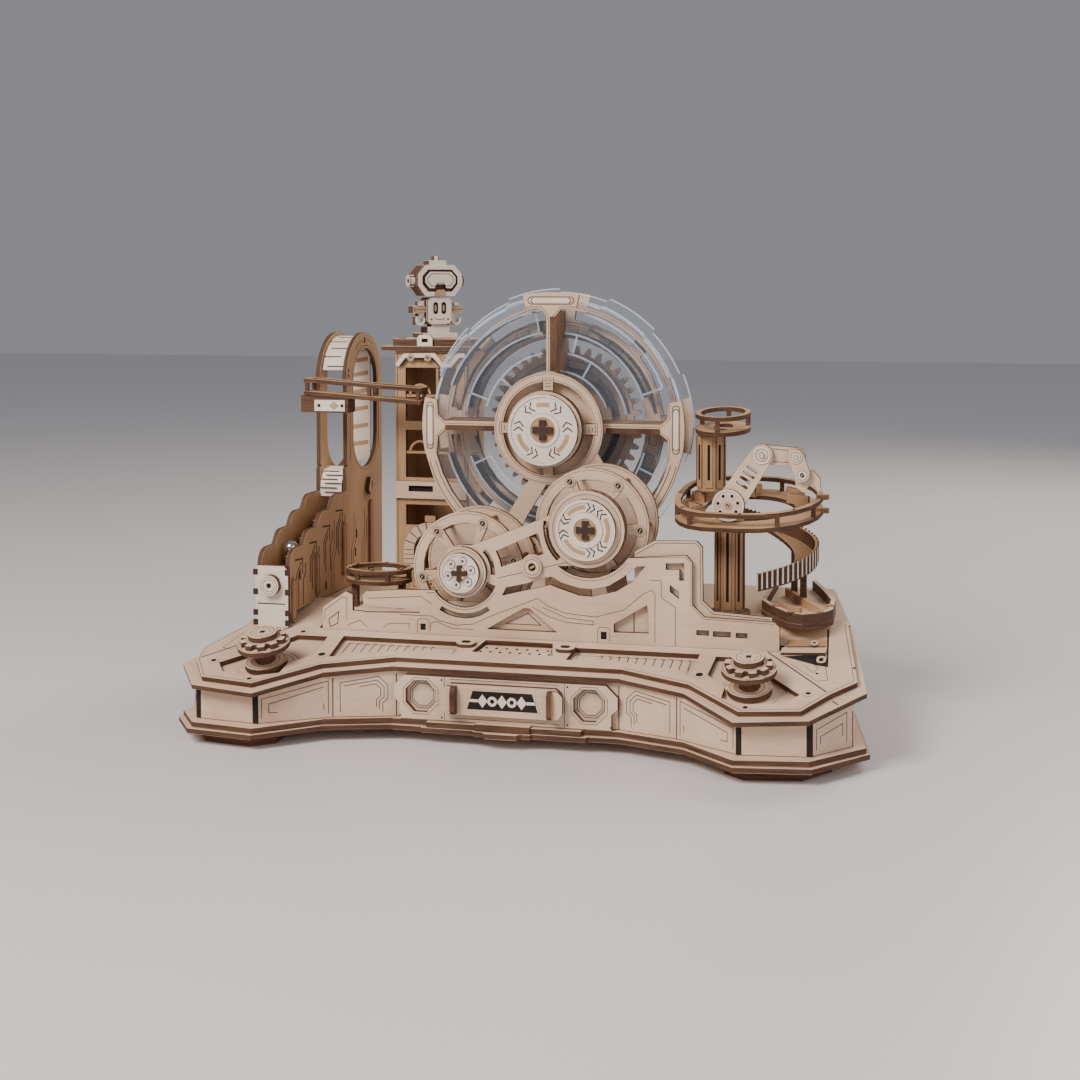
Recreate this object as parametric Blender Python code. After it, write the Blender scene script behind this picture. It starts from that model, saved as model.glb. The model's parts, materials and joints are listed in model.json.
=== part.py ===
"""3d maze ball puzzle: laser-cut plywood plates on a sloping console base, with a clear maze wheel,
a gear train, a stair lift with a barrel arch, marble tracks, a tower with a robot and a robotic arm.

Sizes below are millimetres. X runs along the front, Y goes back, Z is up. The Y values of the
drawing count from the line through the two knobs and its X values from the middle between them;
DRAW_TO_ORIGIN and DRAW_TO_CENTRE move them so that the origin is at the bottom centre of the whole
object, whose left wing is narrower than the right one."""

import math

import bmesh
import bpy
from mathutils import Matrix, Vector

MM = 0.001
DRAW_TO_ORIGIN = -75.0
DRAW_TO_CENTRE = -4.25

PLY = 2.5
GAP = 0.3
PITCH = PLY + GAP

# Base
SLOPE = 0.25
SLOPE_COS = 1.0 / math.hypot(1.0, SLOPE)
RIM_TOP = 33.2
DECK_TOP = RIM_TOP + PITCH / SLOPE_COS
SLOPE_END = 74.0
BASE_BACK = 173.0
FOOT_TOP = 5.2
BOTTOM_TOP = FOOT_TOP + GAP + PLY
LOWER_RIM_TOP = BOTTOM_TOP + PITCH
WALL_FOOT = LOWER_RIM_TOP + GAP
PLATFORM_TOP = 52.0
PLATFORM_UNDER = PLATFORM_TOP - PLY
FRONT_PANEL_Y = 9.5

# Knobs
KNOB_X = 118.0
KNOB_Y = 3.0

# Fascia and front gear train
FASCIA_Y = 40.0
AXLE_R = 3.2
BORE_R = AXLE_R + GAP
MODULE = 2.0
LEFT_AXIS = (-30.0, 77.6)
MID_AXIS = (33.6, 100.9)
LEFT_TEETH = 24
IDLER_TEETH = 12
MID_TEETH = 22
RIM_R = 28.7
CAGE_PIN_R = 24.3
CAGE_FRONT_Y = 47.7
CAGE_REAR_Y = 70.0
TRAIN_GEAR_Y = CAGE_REAR_Y + PLY + 1.9
LEFT_DIAL_R = 9.7
MID_DIAL_R = 14.8

# Maze wheel
MAZE_AXIS = (2.5, 145.5)
TOP_DIAL_Y = 71.0
TOP_DIAL_R = 18.1
HUB_RING_Y = 81.0
HUB_RING_R = 28.8
WHEEL_FRONT_Y = 86.6
WHEEL_REAR_Y = 112.0
WHEEL_R = 70.0
FRONT_DISC_Y = 93.5
FRONT_DISC_R = 68.0
REAR_DISC_Y = 104.0
REAR_DISC_R = 72.0
CLEAR_T = 1.5
MAZE_TEETH = 40
PINION_TEETH = 12
MAZE_GEAR_Y = 117.0

# Stair lift and barrel arch
STAIR_LEFT_X = -140.0
STAIR_RIGHT_X = -121.9
STAIR_FOOT = 52.6
ARCH_Y = 143.0
ARCH_Z = 165.6
ARCH_R = 27.0
ARCH_INNER_R = 18.0
STEP_RUN = 18.0
STEP_RISE = 6.9
BALL_R = 4.0

# Tower and robot
TOWER_X = -73.5
TOWER_WIDTH = 41.0
TOWER_FRONT = 118.0
TOWER_BACK = 148.0
TOWER_TOP = 183.0
ROBOT_AXIS = (-75.5, 131.0)
ROBOT_YAW = 43.0

# Right-hand tracks and arm
LOWER_COLUMN = (95.6, 88.0)
UPPER_COLUMN = (84.5, 97.0)
MID_TRACK_Z = 107.0
UPPER_TRACK_Z = 152.6
TRAY_TOP = 57.5
ARM_Y = 66.5
SHOULDER = (98.3, 111.0)
ELBOW = (114.6, 135.9)
WRIST = (131.2, 135.3)
KNUCKLE = (134.4, 126.5)

X_AXIS = Vector((1.0, 0.0, 0.0))
Y_AXIS = Vector((0.0, 1.0, 0.0))
Z_AXIS = Vector((0.0, 0.0, 1.0))
SLOPE_AXIS = Vector((0.0, SLOPE_COS, SLOPE * SLOPE_COS))
SLOPE_NORMAL = Vector((0.0, -SLOPE * SLOPE_COS, SLOPE_COS))

PALE_PLY = ("pale_ply", (0.80, 0.66, 0.48, 1.0), 0.6, 0.0)
STEEL = ("steel", (0.75, 0.75, 0.78, 1.0), 0.15, 1.0)
CLEAR = ("clear_plastic", (0.90, 0.93, 0.98, 1.0), 0.08, 0.0)


# ---------------------------------------------------------------- scene and helpers


def clear_scene():
    for o in list(bpy.data.objects):
        bpy.data.objects.remove(o, do_unlink=True)


clear_scene()
parts = bpy.data.collections.new("maze_ball_puzzle")
bpy.context.scene.collection.children.link(parts)


def material(finish):
    name, colour, rough, metal = finish
    found = bpy.data.materials.get(name)
    if found:
        return found
    made = bpy.data.materials.new(name)
    made.use_nodes = True
    shader = made.node_tree.nodes["Principled BSDF"]
    shader.inputs["Base Color"].default_value = colour
    shader.inputs["Roughness"].default_value = rough
    shader.inputs["Metallic"].default_value = metal
    return made


def place(x, y, z):
    """A point of the drawing, in metres, in the object's own frame."""
    return Vector((x + DRAW_TO_CENTRE, y + DRAW_TO_ORIGIN, z)) * MM


def arc(cx, cy, r, start, stop, steps):
    """Points on an arc from angle start to stop, in degrees, both ends included."""
    out = []
    for i in range(steps + 1):
        a = math.radians(start + (stop - start) * i / steps)
        out.append((cx + r * math.cos(a), cy + r * math.sin(a)))
    return out


def circle(cx, cy, r, steps=24):
    return arc(cx, cy, r, 0.0, 360.0 - 360.0 / steps, steps - 1)


def box_outline(x0, y0, x1, y1):
    return [(x0, y0), (x1, y0), (x1, y1), (x0, y1)]


def slot_outline(p, q, r, steps=6):
    """A round-ended slot of radius r between two points."""
    a = math.degrees(math.atan2(q[1] - p[1], q[0] - p[0]))
    return arc(q[0], q[1], r, a - 90, a + 90, steps) + arc(p[0], p[1], r, a + 90, a + 270, steps)


def turned(points, centre, degrees):
    a = math.radians(degrees)
    c, s = math.cos(a), math.sin(a)
    return [(centre[0] + c * x - s * y, centre[1] + s * x + c * y) for x, y in points]


def plate(name, loops, origin, across, up, thickness=PLY, finish=PALE_PLY):
    """A flat plate from closed 2D loops. Its front face lies on origin, and it is thick behind it."""
    curve = bpy.data.curves.new(name, "CURVE")
    curve.dimensions = "2D"
    curve.fill_mode = "BOTH"
    curve.extrude = thickness * MM / 2
    for loop in loops:
        spline = curve.splines.new("POLY")
        spline.points.add(len(loop) - 1)
        for point, (u, v) in zip(spline.points, loop):
            point.co = (u * MM, v * MM, 0.0, 1.0)
        spline.use_cyclic_u = True
    curve.materials.append(material(finish))
    made = bpy.data.objects.new(name, curve)
    parts.objects.link(made)
    normal = across.cross(up)
    centre = place(*origin) - normal * (thickness * MM / 2)
    turn = Matrix((across, up, normal)).transposed()
    made.matrix_world = Matrix.Translation(centre) @ turn.to_4x4()
    return made


def facing_front(name, loops, y, thickness=PLY, finish=PALE_PLY):
    """A plate in an XZ plane, with its front face at y. Loops are (x, z)."""
    return plate(name, loops, (0.0, y, 0.0), X_AXIS, Z_AXIS, thickness, finish)


def facing_up(name, loops, z, thickness=PLY, finish=PALE_PLY):
    """A level plate with its top face at z. Loops are (x, y)."""
    return plate(name, loops, (0.0, 0.0, z), X_AXIS, Y_AXIS, thickness, finish)


def facing_right(name, loops, x, thickness=PLY, finish=PALE_PLY):
    """A plate in a YZ plane, with its right face at x. Loops are (y, z)."""
    return plate(name, loops, (x, 0.0, 0.0), Y_AXIS, Z_AXIS, thickness, finish)


def on_slope(name, loops, top, thickness=PLY, finish=PALE_PLY):
    """A plate on the sloping deck. Loops are plan (x, y), and top is its height over the knob line."""
    sloped = [[(x, y / SLOPE_COS) for x, y in loop] for loop in loops]
    return plate(name, sloped, (0.0, 0.0, top), X_AXIS, SLOPE_AXIS, thickness, finish)


def as_mesh(shape):
    """The shape as a plain mesh object with its caps welded."""
    shape_name = shape.name
    bpy.context.view_layer.update()
    evaluated = shape.evaluated_get(bpy.context.evaluated_depsgraph_get())
    mesh = bpy.data.meshes.new_from_object(evaluated)
    bm = bmesh.new()
    bm.from_mesh(mesh)
    bmesh.ops.remove_doubles(bm, verts=bm.verts, dist=1e-6)
    bmesh.ops.recalc_face_normals(bm, faces=bm.faces)
    bm.to_mesh(mesh)
    bm.free()
    matrix = shape.matrix_world.copy()
    bpy.data.objects.remove(shape, do_unlink=True)
    made = bpy.data.objects.new(shape_name, mesh)
    parts.objects.link(made)
    made.name = shape_name
    made.matrix_world = matrix
    return made


def boolean(name, base, others, operation):
    """The base shape with the others joined to it or cut from it, as one new mesh."""
    base = as_mesh(base)
    helpers = [as_mesh(o) for o in others]
    for helper in helpers:
        modifier = base.modifiers.new("join", "BOOLEAN")
        modifier.operation = operation
        modifier.solver = "EXACT"
        modifier.object = helper
    made = as_mesh(base)
    made.name = name
    for helper in helpers:
        bpy.data.objects.remove(helper, do_unlink=True)
    return made


def fuse(name, shapes):
    return boolean(name, shapes[0], shapes[1:], "UNION")


def cut(name, shape, cutters):
    return boolean(name, shape, cutters, "DIFFERENCE")


def box(name, low, high, finish=PALE_PLY):
    """A box between two corners of the drawing."""
    return plate(
        name,
        [box_outline(low[0], low[1], high[0], high[1])],
        (0.0, 0.0, high[2]),
        X_AXIS,
        Y_AXIS,
        high[2] - low[2],
        finish,
    )


def rod(name, start, end, r, steps=12, finish=PALE_PLY):
    """A round rod between two points of the drawing."""
    a, b = place(*start), place(*end)
    bm = bmesh.new()
    bmesh.ops.create_cone(
        bm, cap_ends=True, segments=steps, radius1=r * MM, radius2=r * MM, depth=(b - a).length
    )
    mesh = bpy.data.meshes.new(name)
    bm.to_mesh(mesh)
    bm.free()
    mesh.materials.append(material(finish))
    made = bpy.data.objects.new(name, mesh)
    parts.objects.link(made)
    turn = (b - a).to_track_quat("Z", "Y")
    made.matrix_world = Matrix.Translation((a + b) / 2) @ turn.to_matrix().to_4x4()
    return made


def axle(name, axis, y0, y1, r=AXLE_R, steps=12):
    return rod(name, (axis[0], y0, axis[1]), (axis[0], y1, axis[1]), r, steps)


def strip(points, thickness):
    """The outline of a wall of the given thickness along an open path, with mitred corners."""
    half = thickness / 2
    left, right = [], []
    last = len(points) - 1
    for i, p in enumerate(points):
        before = Vector(points[max(i, 1)]) - Vector(points[max(i, 1) - 1])
        after = Vector(points[min(i + 1, last)]) - Vector(points[min(i + 1, last) - 1])
        before.normalize()
        after.normalize()
        n0 = Vector((-before.y, before.x))
        n1 = Vector((-after.y, after.x))
        mitre = (n0 + n1).normalized()
        reach = half / mitre.dot(n0)
        left.append((p[0] + mitre.x * reach, p[1] + mitre.y * reach))
        right.append((p[0] - mitre.x * reach, p[1] - mitre.y * reach))
    return left + right[::-1]


def gear_outline(centre, teeth, module, phase=0.0):
    """An involute spur gear's outline, thinned for backlash. A tooth is centred on the phase angle."""
    pitch_r = teeth * module / 2
    base_r = pitch_r * math.cos(math.radians(20.0))
    tip_r = pitch_r + 0.8 * module
    root_r = pitch_r - 1.2 * module
    backlash = 0.26

    def involute(r):
        if r <= base_r:
            return 0.0
        t = math.sqrt((r / base_r) ** 2 - 1.0)
        return t - math.atan(t)

    half_pitch = math.pi / (2 * teeth) - backlash / pitch_r
    flank = [max(root_r, base_r), pitch_r, tip_r]
    points = []
    for tooth in range(teeth):
        mid = math.radians(phase) + 2 * math.pi * tooth / teeth
        side = [(r, half_pitch + involute(pitch_r) - involute(r)) for r in flank]
        side = [(root_r, side[0][1] * 0.84)] + side if root_r < flank[0] else side
        for r, a in side:
            points.append((r, mid - a))
        for r, a in reversed(side):
            points.append((r, mid + a))
    return [(centre[0] + r * math.cos(a), centre[1] + r * math.sin(a)) for r, a in points]


def window(centre, r0, r1, start, stop, steps=6):
    """A window between two radii, as one closed loop."""
    outer = arc(centre[0], centre[1], r1, start, stop, steps)
    inner = arc(centre[0], centre[1], r0, stop, start, steps)
    return outer + inner


# ---------------------------------------------------------------- base

RIM_SIDE = [(170.0, 9.5), (158.5, SLOPE_END)]
RIM_FRONT = [(0.0, 10.0), (56.0, 10.0), (88.0, 0.0), (114.0, -23.0), (147.0, -18.0)]
REAR_SIDE = [(158.0, SLOPE_END + 1), (141.0, BASE_BACK)]
LEFT_SIDE = [(161.5, 1.5), (146.0, 39.5)]


def two_sided(right, left):
    """A closed outline from its right half and its left half, both given from front to back."""
    return right + [(-x, y) for x, y in reversed(left)]


def rim_outline(grow, step=()):
    """The whole base outline in plan, grown outwards by a little."""
    halves = []
    for corners in (RIM_SIDE[:1], LEFT_SIDE):
        half = []
        for x, y in RIM_FRONT + corners + REAR_SIDE[1:]:
            push = grow if y > BASE_BACK - 1 else (-grow if y < 20 and x < 165 else 0.0)
            half.append((x + (grow if x > 120 else 0.0), y + push))
        halves.append(list(step) + half[1:])
    return two_sided(*halves)


def make_base():
    step = [(8.0, 2.6), (9.5, 5.0), (14.0, 5.0), (14.4, 6.6), (40.5, 6.6), (41.0, 8.4)]
    facing_up("bottom_plate", [rim_outline(1.6, step)], BOTTOM_TOP)
    facing_up("lower_rim_plate", [rim_outline(0.0)], LOWER_RIM_TOP)

    lobe = [(108.0, -8.0), (118.0, -16.5), (143.0, -12.5), (155.0, 6.0), (146.0, 24.0), (110.0, 24.0)]
    facing_up("foot_front_right", [lobe], FOOT_TOP, FOOT_TOP)
    facing_up("foot_front_left", [[(-x, y) for x, y in reversed(lobe)]], FOOT_TOP, FOOT_TOP)
    facing_up("foot_rear", [box_outline(-125.0, 140.0, 125.0, 165.0)], FOOT_TOP, FOOT_TOP)

    make_walls()

    panel = [(-52.2, WALL_FOOT), (52.2, WALL_FOOT), (52.2, 18.5), (55.2, 21.0), (55.2, 26.8), (49.6, 32.2)]
    panel += [(-49.6, 32.2), (-55.2, 26.8), (-55.2, 21.0), (-52.2, 18.5)]
    octagons = [arc(x, 22.3, 8.2, 22.5, 337.5, 7) for x in (-41.5, 41.5)]
    facing_front("front_panel", [panel] + octagons, FRONT_PANEL_Y)
    badge = [(-26.0, 15.0), (26.0, 15.0), (28.5, 17.0), (28.5, 28.0), (26.0, 30.0), (-26.0, 30.0)]
    badge += [(-28.5, 28.0), (-28.5, 17.0)]
    facing_front("nameplate", [badge], FRONT_PANEL_Y - PITCH)

    rim_right = RIM_FRONT[1:] + RIM_SIDE
    rim_left = RIM_FRONT[1:] + LEFT_SIDE + [(143.5, SLOPE_END)]
    bores = [circle(s * KNOB_X, KNOB_Y, 5.5, 20) for s in (-1, 1)]
    rim = on_slope("rim_plate", [two_sided(rim_right, rim_left)] + bores, RIM_TOP)
    wheel_slot = ((-56.0, CAGE_REAR_Y - 10.0, 20.0), (-4.0, SLOPE_END + 2.0, 70.0))
    cut("rim_plate", rim, [box("wheel_slot", *wheel_slot)])

    deck_half = [(55.8, 13.6), (89.7, 2.9), (115.8, -19.0), (143.0, -15.5)]
    deck_right = deck_half + [(154.5, 1.2), (165.5, 13.4), (156.0, SLOPE_END)]
    deck_left = deck_half + [(154.0, 0.6), (156.2, 13.4), (145.8, 39.2), (143.3, SLOPE_END)]
    grille = [(-20.5, 23.0), (20.5, 23.0), (17.0, 35.4), (-17.0, 35.4)]
    side_window = [(27.5, 20.0), (52.0, 19.0), (89.0, 10.5), (90.0, 32.5), (29.0, 32.5)]
    knob_window = [(97.0, 12.5), (106.6, 2.0), (106.6, -8.0), (118.0, -12.2), (135.0, -9.5)]
    knob_window += [(141.0, -1.0), (128.0, 12.5), (114.0, 31.0), (98.0, 31.0)]
    loops = [two_sided(deck_right, deck_left), grille]
    for outline in (side_window, knob_window):
        loops.append(outline)
        loops.append([(-x, y) for x, y in reversed(outline)])
    deck = on_slope("deck_plate", loops, DECK_TOP)
    trench = box("deck_trench", (-106.0, FASCIA_Y - GAP, 20.0), (128.5, FASCIA_Y + PITCH + PLY + GAP, 70.0))
    cut("deck_plate", deck, [trench, box("wheel_slot", *wheel_slot)])

    middle = [(58.0, SLOPE_END + 3.6), (60.0, SLOPE_END + 1.2)]
    platform_right = middle + [(157.5, SLOPE_END + 1.2), (141.0, BASE_BACK)]
    platform_left = middle + [(143.3, SLOPE_END + 1.2), (141.0, BASE_BACK)]
    facing_up("rear_platform", [two_sided(platform_right, platform_left)], PLATFORM_TOP)


def make_walls():
    """The four walls between the lower rim and the sloping rim plate."""
    front = [(GAP / 2, 14.2), (55.0, 14.2), (84.6, 5.0), (115.8, -14.2), (146.0, -10.6)]
    right_side = [(163.0, 10.5), (151.0, SLOPE_END), (137.5, 167.0)]
    left_side = [(154.8, 3.2), (139.5, 39.5), (138.6, SLOPE_END), (137.5, 167.0)]

    def wall(name, sign):
        side = right_side if sign > 0 else left_side
        path = [(sign * x, y) for x, y in front + side]
        tall = plate(
            name,
            [strip(path, PLY)],
            (0.0, 0.0, WALL_FOOT + 60.0),
            X_AXIS,
            Y_AXIS,
            60.0,
        )
        over = [(-60.0, WALL_FOOT - 30.0), (-60.0, 120.0), (220.0, 120.0), (220.0, PLATFORM_UNDER - GAP)]
        knee = SLOPE_END + 1.0
        sloping_under = RIM_TOP - PITCH / SLOPE_COS
        over += [(knee, PLATFORM_UNDER - GAP), (knee, sloping_under + SLOPE * knee)]
        over[0] = (-60.0, sloping_under - SLOPE * 60.0)
        waste = facing_right("waste", [over], 200.0, 400.0)
        return cut(name, tall, [waste])

    wall("right_wall", 1)
    wall("left_wall", -1)
    rear = box_outline(-136.0, WALL_FOOT, 136.0, PLATFORM_UNDER - GAP)
    facing_front("rear_wall", [rear], 165.0)


# ---------------------------------------------------------------- knobs


def make_knob(name, x):
    """Base ring, hollow stem, washer, gear ring and top disc, turning about the deck's normal."""

    def layer(label, outline, low, high):
        local = [(x + u, KNOB_Y / SLOPE_COS + v) for u, v in outline]
        base = place(0.0, 0.0, RIM_TOP) + SLOPE_NORMAL * high * MM
        origin = (base.x / MM - DRAW_TO_CENTRE, base.y / MM - DRAW_TO_ORIGIN, base.z / MM)
        return plate(label, [local], origin, X_AXIS, SLOPE_AXIS, high - low)

    grip = []
    for tooth in range(10):
        middle = 36.0 * tooth
        grip += arc(0.0, 0.0, 11.0, middle - 9.5, middle + 9.5, 2)
        grip += arc(0.0, 0.0, 8.6, middle + 13.0, middle + 23.0, 1)
    layers = [
        layer(name, circle(0, 0, 5.0, 12), -1.5, 15.5),
        layer("ring", circle(0, 0, 10.2, 24), 0.6, 3.4),
        layer("washer", circle(0, 0, 12.7, 28), 10.8, 13.3),
        layer("grip", grip, 13.1, 15.8),
        layer("cap", circle(0, 0, 7.1, 20), 15.5, 18.5),
    ]
    fuse(name, layers)


# ---------------------------------------------------------------- fascia and front gear train


def idler_axis():
    """The idler's axis, a centre distance from each of the two wheels it joins."""
    to_left = MODULE * (LEFT_TEETH + IDLER_TEETH) / 2
    to_mid = MODULE * (MID_TEETH + IDLER_TEETH) / 2
    dx, dz = MID_AXIS[0] - LEFT_AXIS[0], MID_AXIS[1] - LEFT_AXIS[1]
    span = math.hypot(dx, dz)
    along = (to_left**2 - to_mid**2 + span**2) / (2 * span)
    aside = math.sqrt(to_left**2 - along**2)
    return (
        LEFT_AXIS[0] + (dx * along + dz * aside) / span,
        LEFT_AXIS[1] + (dz * along - dx * aside) / span,
    )


IDLER_AXIS = idler_axis()


def make_fascia():
    foot = RIM_TOP + SLOPE * FASCIA_Y + GAP
    lx, lz = LEFT_AXIS
    mx, mz = MID_AXIS
    outline = [(-104.5, foot), (-104.5, 56.5), (-92.0, 65.0), (-88.3, 63.5), (-88.3, 55.5), (-80.0, 55.0)]
    outline += [(-52.6, 56.0), (-54.4, 57.4), (-82.5, 58.2), (-83.0, 63.5), (-81.0, 65.5), (-63.0, 67.0)]
    outline += arc(lx, lz, 18.0, 214, 338, 12)
    outline += arc(lx, lz, 13.4, -22, -262, 16)
    outline += [(-25.7, 90.7), (9.5, 104.6)]
    outline += arc(mx, mz, 19.0, 160, -104, 18)
    outline += arc(mx, mz, 24.2, 231, 326, 9)
    outline += [(81.9, 89.6), (84.9, 86.2), (84.9, 65.6), (90.8, 60.2), (124.5, 59.2)]
    outline += [(126.8, 57.0), (126.8, foot)]
    ix, iz = IDLER_AXIS
    between = [(-13.1, 88.3), (8.4, 98.0), (9.9, 92.0), (11.4, 87.8)]
    between += arc(ix, iz, 6.2, 62, 150, 5) + [(-10.4, 80.5), (-11.2, 83.9)]
    crescent = [(-10.0, 66.3), (14.9, 72.6), (19.1, 71.1), (29.1, 68.1), (35.7, 67.8), (47.3, 70.7), (55.5, 75.8)]
    crescent += [(62.0, 83.7), (57.9, 83.4), (51.4, 78.1), (44.0, 73.4), (35.7, 71.4), (29.1, 71.7)]
    crescent += [(20.3, 74.0), (15.3, 76.7), (10.7, 76.1), (3.1, 73.0), (-7.9, 70.5)]
    holes = [
        circle(lx, lz, BORE_R, 16),
        circle(mx, mz, BORE_R, 16),
        circle(ix, iz, 1.8, 12),
        window(LEFT_AXIS, 14.2, 16.4, -4, 44),
        window(LEFT_AXIS, 21.0, 23.4, 238, 306),
        window(MID_AXIS, 20.0, 22.6, 172, 226),
        between,
        crescent,
        [(-17.7, 49.5), (17.8, 49.5), (3.9, 60.7), (1.0, 60.6)],
        [(46.4, 50.9), (63.6, 51.2), (63.6, 59.0), (62.8, 64.8), (46.4, 54.9)],
        [(72.0, 85.4), (80.9, 85.8), (80.9, 77.4), (78.6, 77.3), (78.6, 82.6), (72.0, 82.3)],
        [(74.0, 71.8), (74.0, 75.0), (78.4, 71.9), (78.4, 68.6)],
        box_outline(-52.3, 47.4, -49.6, 50.6),
        box_outline(40.0, 47.2, 42.8, 50.8),
        box_outline(87.0, 51.4, 93.0, 53.9),
        box_outline(95.0, 51.2, 103.5, 53.7),
        box_outline(106.0, 51.0, 111.5, 53.5),
    ]
    fascia = facing_front("fascia_plate", [outline] + holes, FASCIA_Y)
    cut("fascia_plate", fascia, [under_slope(RIM_TOP + GAP)])

    backer_foot = RIM_TOP + SLOPE * (FASCIA_Y + PITCH) + GAP
    backer = [(56.0, backer_foot), (56.0, 90.0), (66.0, 95.6), (86.5, 96.2), (89.3, 93.4), (89.6, 67.3)]
    backer += [(95.0, 62.4), (123.0, 60.8), (123.0, backer_foot)]
    back = facing_front("fascia_backer", [backer], FASCIA_Y + PITCH)
    cut("fascia_backer", back, [under_slope(RIM_TOP + GAP)])


def under_slope(top):
    """Everything below the sloping plane whose height over the knob line is top."""
    wedge = [(-60.0, -40.0), (120.0, -40.0), (120.0, top + SLOPE * 120.0), (-60.0, top - SLOPE * 60.0)]
    return facing_right("under_slope", [wedge], 200.0, 400.0)


def cage_rim(name, axis, y, hub_r, phase):
    """One spoked rim of a cage wheel: six windows between the hub disc and the rim."""
    loops = [circle(axis[0], axis[1], RIM_R, 36)]
    for i in range(6):
        start = phase + 60.0 * i
        loops.append(window(axis, hub_r, 23.2, start + 7.0, start + 53.0, 4))
    return facing_front(name, loops, y)


def make_cage_wheel(name, axis, teeth, gear_phase, pin_phase, hub_r):
    """A spoked rim and a plain one joined by six pins, with a gear behind them, on one axle."""
    wheel = [
        cage_rim(name, axis, CAGE_FRONT_Y, hub_r, pin_phase),
        facing_front("rear_rim", [circle(*axis, RIM_R, 36)], CAGE_REAR_Y),
        facing_front("gear", [gear_outline(axis, teeth, MODULE, gear_phase)], TRAIN_GEAR_Y),
        axle("axle", axis, FASCIA_Y - 2 * PITCH - 1.0, CAGE_REAR_Y + 10.6),
    ]
    for x, z in turned(circle(0, 0, CAGE_PIN_R, 6), axis, pin_phase):
        pin_end = CAGE_REAR_Y + PLY + 0.8
        wheel.append(rod("pin", (x, CAGE_FRONT_Y - 0.8, z), (x, pin_end, z), 1.3, 6))
    fuse(name, wheel)


def make_dial(name, axis, y, r, backing_r, layers=2):
    """A dial: a front disc on a wider backing disc, both with the axle's bore."""
    bore = circle(axis[0], axis[1], BORE_R, 16)
    front = facing_front(name, [circle(axis[0], axis[1], r, 32), bore], y)
    backing = [circle(axis[0], axis[1], backing_r, 32), bore]
    back = facing_front("backing", backing, y + PLY - 0.1, PLY * (layers - 1))
    fuse(name, [front, back])


def make_front_train():
    idler_angle = math.degrees(math.atan2(IDLER_AXIS[1] - LEFT_AXIS[1], IDLER_AXIS[0] - LEFT_AXIS[0]))
    mid_angle = math.degrees(math.atan2(MID_AXIS[1] - IDLER_AXIS[1], MID_AXIS[0] - IDLER_AXIS[0]))
    left_tooth = 360.0 / LEFT_TEETH
    idler_tooth = 360.0 / IDLER_TEETH
    mid_tooth = 360.0 / MID_TEETH
    # The left wheel has a tooth on the line to the idler, which has a gap there.
    left_phase = idler_angle
    idler_phase = idler_angle + 180.0 + idler_tooth / 2
    # The idler's offset from a tooth on the line to the mid wheel passes on to that wheel's gap.
    offset = (mid_angle - idler_phase) / idler_tooth
    offset -= math.floor(offset)
    mid_phase = mid_angle + 180.0 + (0.5 + offset) * mid_tooth

    make_cage_wheel("left_wheel", LEFT_AXIS, LEFT_TEETH, left_phase, 11.4, 12.0)
    make_cage_wheel("mid_wheel", MID_AXIS, MID_TEETH, mid_phase, 57.0, 17.0)
    make_dial("left_dial", LEFT_AXIS, FASCIA_Y - 2 * PLY - 0.4, LEFT_DIAL_R, 12.7)
    make_dial("mid_dial", MID_AXIS, FASCIA_Y - 2 * PLY - 0.4, MID_DIAL_R, 18.9)

    gear = facing_front("idler_gear", [gear_outline(IDLER_AXIS, IDLER_TEETH, MODULE, idler_phase)], TRAIN_GEAR_Y)
    fuse(
        "idler_gear",
        [
            gear,
            axle("axle", IDLER_AXIS, FASCIA_Y - 1.0, 80.6, 1.5, 12),
            axle("boss", IDLER_AXIS, FASCIA_Y + PITCH + 0.3, TRAIN_GEAR_Y + 1.0, 4.4, 16),
        ],
    )
    make_bearing_plate()


def make_bearing_plate():
    """The hidden plate behind the cages that carries the rear ends of the three axles."""
    y = CAGE_REAR_Y + 8.0
    foot = PLATFORM_TOP + GAP
    lx, lz = LEFT_AXIS
    mx, mz = MID_AXIS
    outline = [(lx - 14.0, foot), (lx - 7.0, lz)]
    outline += arc(lx, lz, 7.0, 170, 60, 4)
    outline += [(IDLER_AXIS[0] - 2.0, IDLER_AXIS[1] + 6.0)]
    outline += arc(mx, mz, 7.5, 140, 0, 5)
    outline += [(mx + 12.0, foot), (mx + 2.0, foot), (mx - 3.0, mz - 16.0), (IDLER_AXIS[0] + 2.0, 72.0)]
    outline += [(lx + 8.0, lz - 12.0), (lx - 2.0, foot)]
    holes = [circle(lx, lz, BORE_R, 16), circle(mx, mz, BORE_R, 16), circle(*IDLER_AXIS, 1.8, 12)]
    facing_front("train_bearing_plate", [outline] + holes, y)


# ---------------------------------------------------------------- maze wheel


def tee_head(angle):
    """A T-shaped end plate with its thin stem, pointing out at the given angle."""
    half = 12.3
    head = arc(0.0, 0.0, WHEEL_R, -half, half, 5)
    inner = [(62.0, 13.5), (61.4, 5.5), (57.0, 1.8), (24.0, 1.8)]
    inner += [(u, -v) for u, v in reversed(inner)]
    return turned(head + inner, MAZE_AXIS, angle)


def wheel_plate(name, y, hub_r, bore):
    shapes = [facing_front(name, [circle(*MAZE_AXIS, hub_r, 40), circle(*MAZE_AXIS, bore, 20)], y)]
    for angle in (0.0, 90.0, 180.0):
        shapes.append(facing_front("tee", [tee_head(angle)], y + 0.05, PLY - 0.1))
    return shapes


RIB_HALF = 2.5
RIB_SLOT = RIB_HALF + GAP


def rib_slot(angle, r0, r1):
    return turned(box_outline(r0, -RIB_SLOT, r1, RIB_SLOT), MAZE_AXIS, angle)


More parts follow.
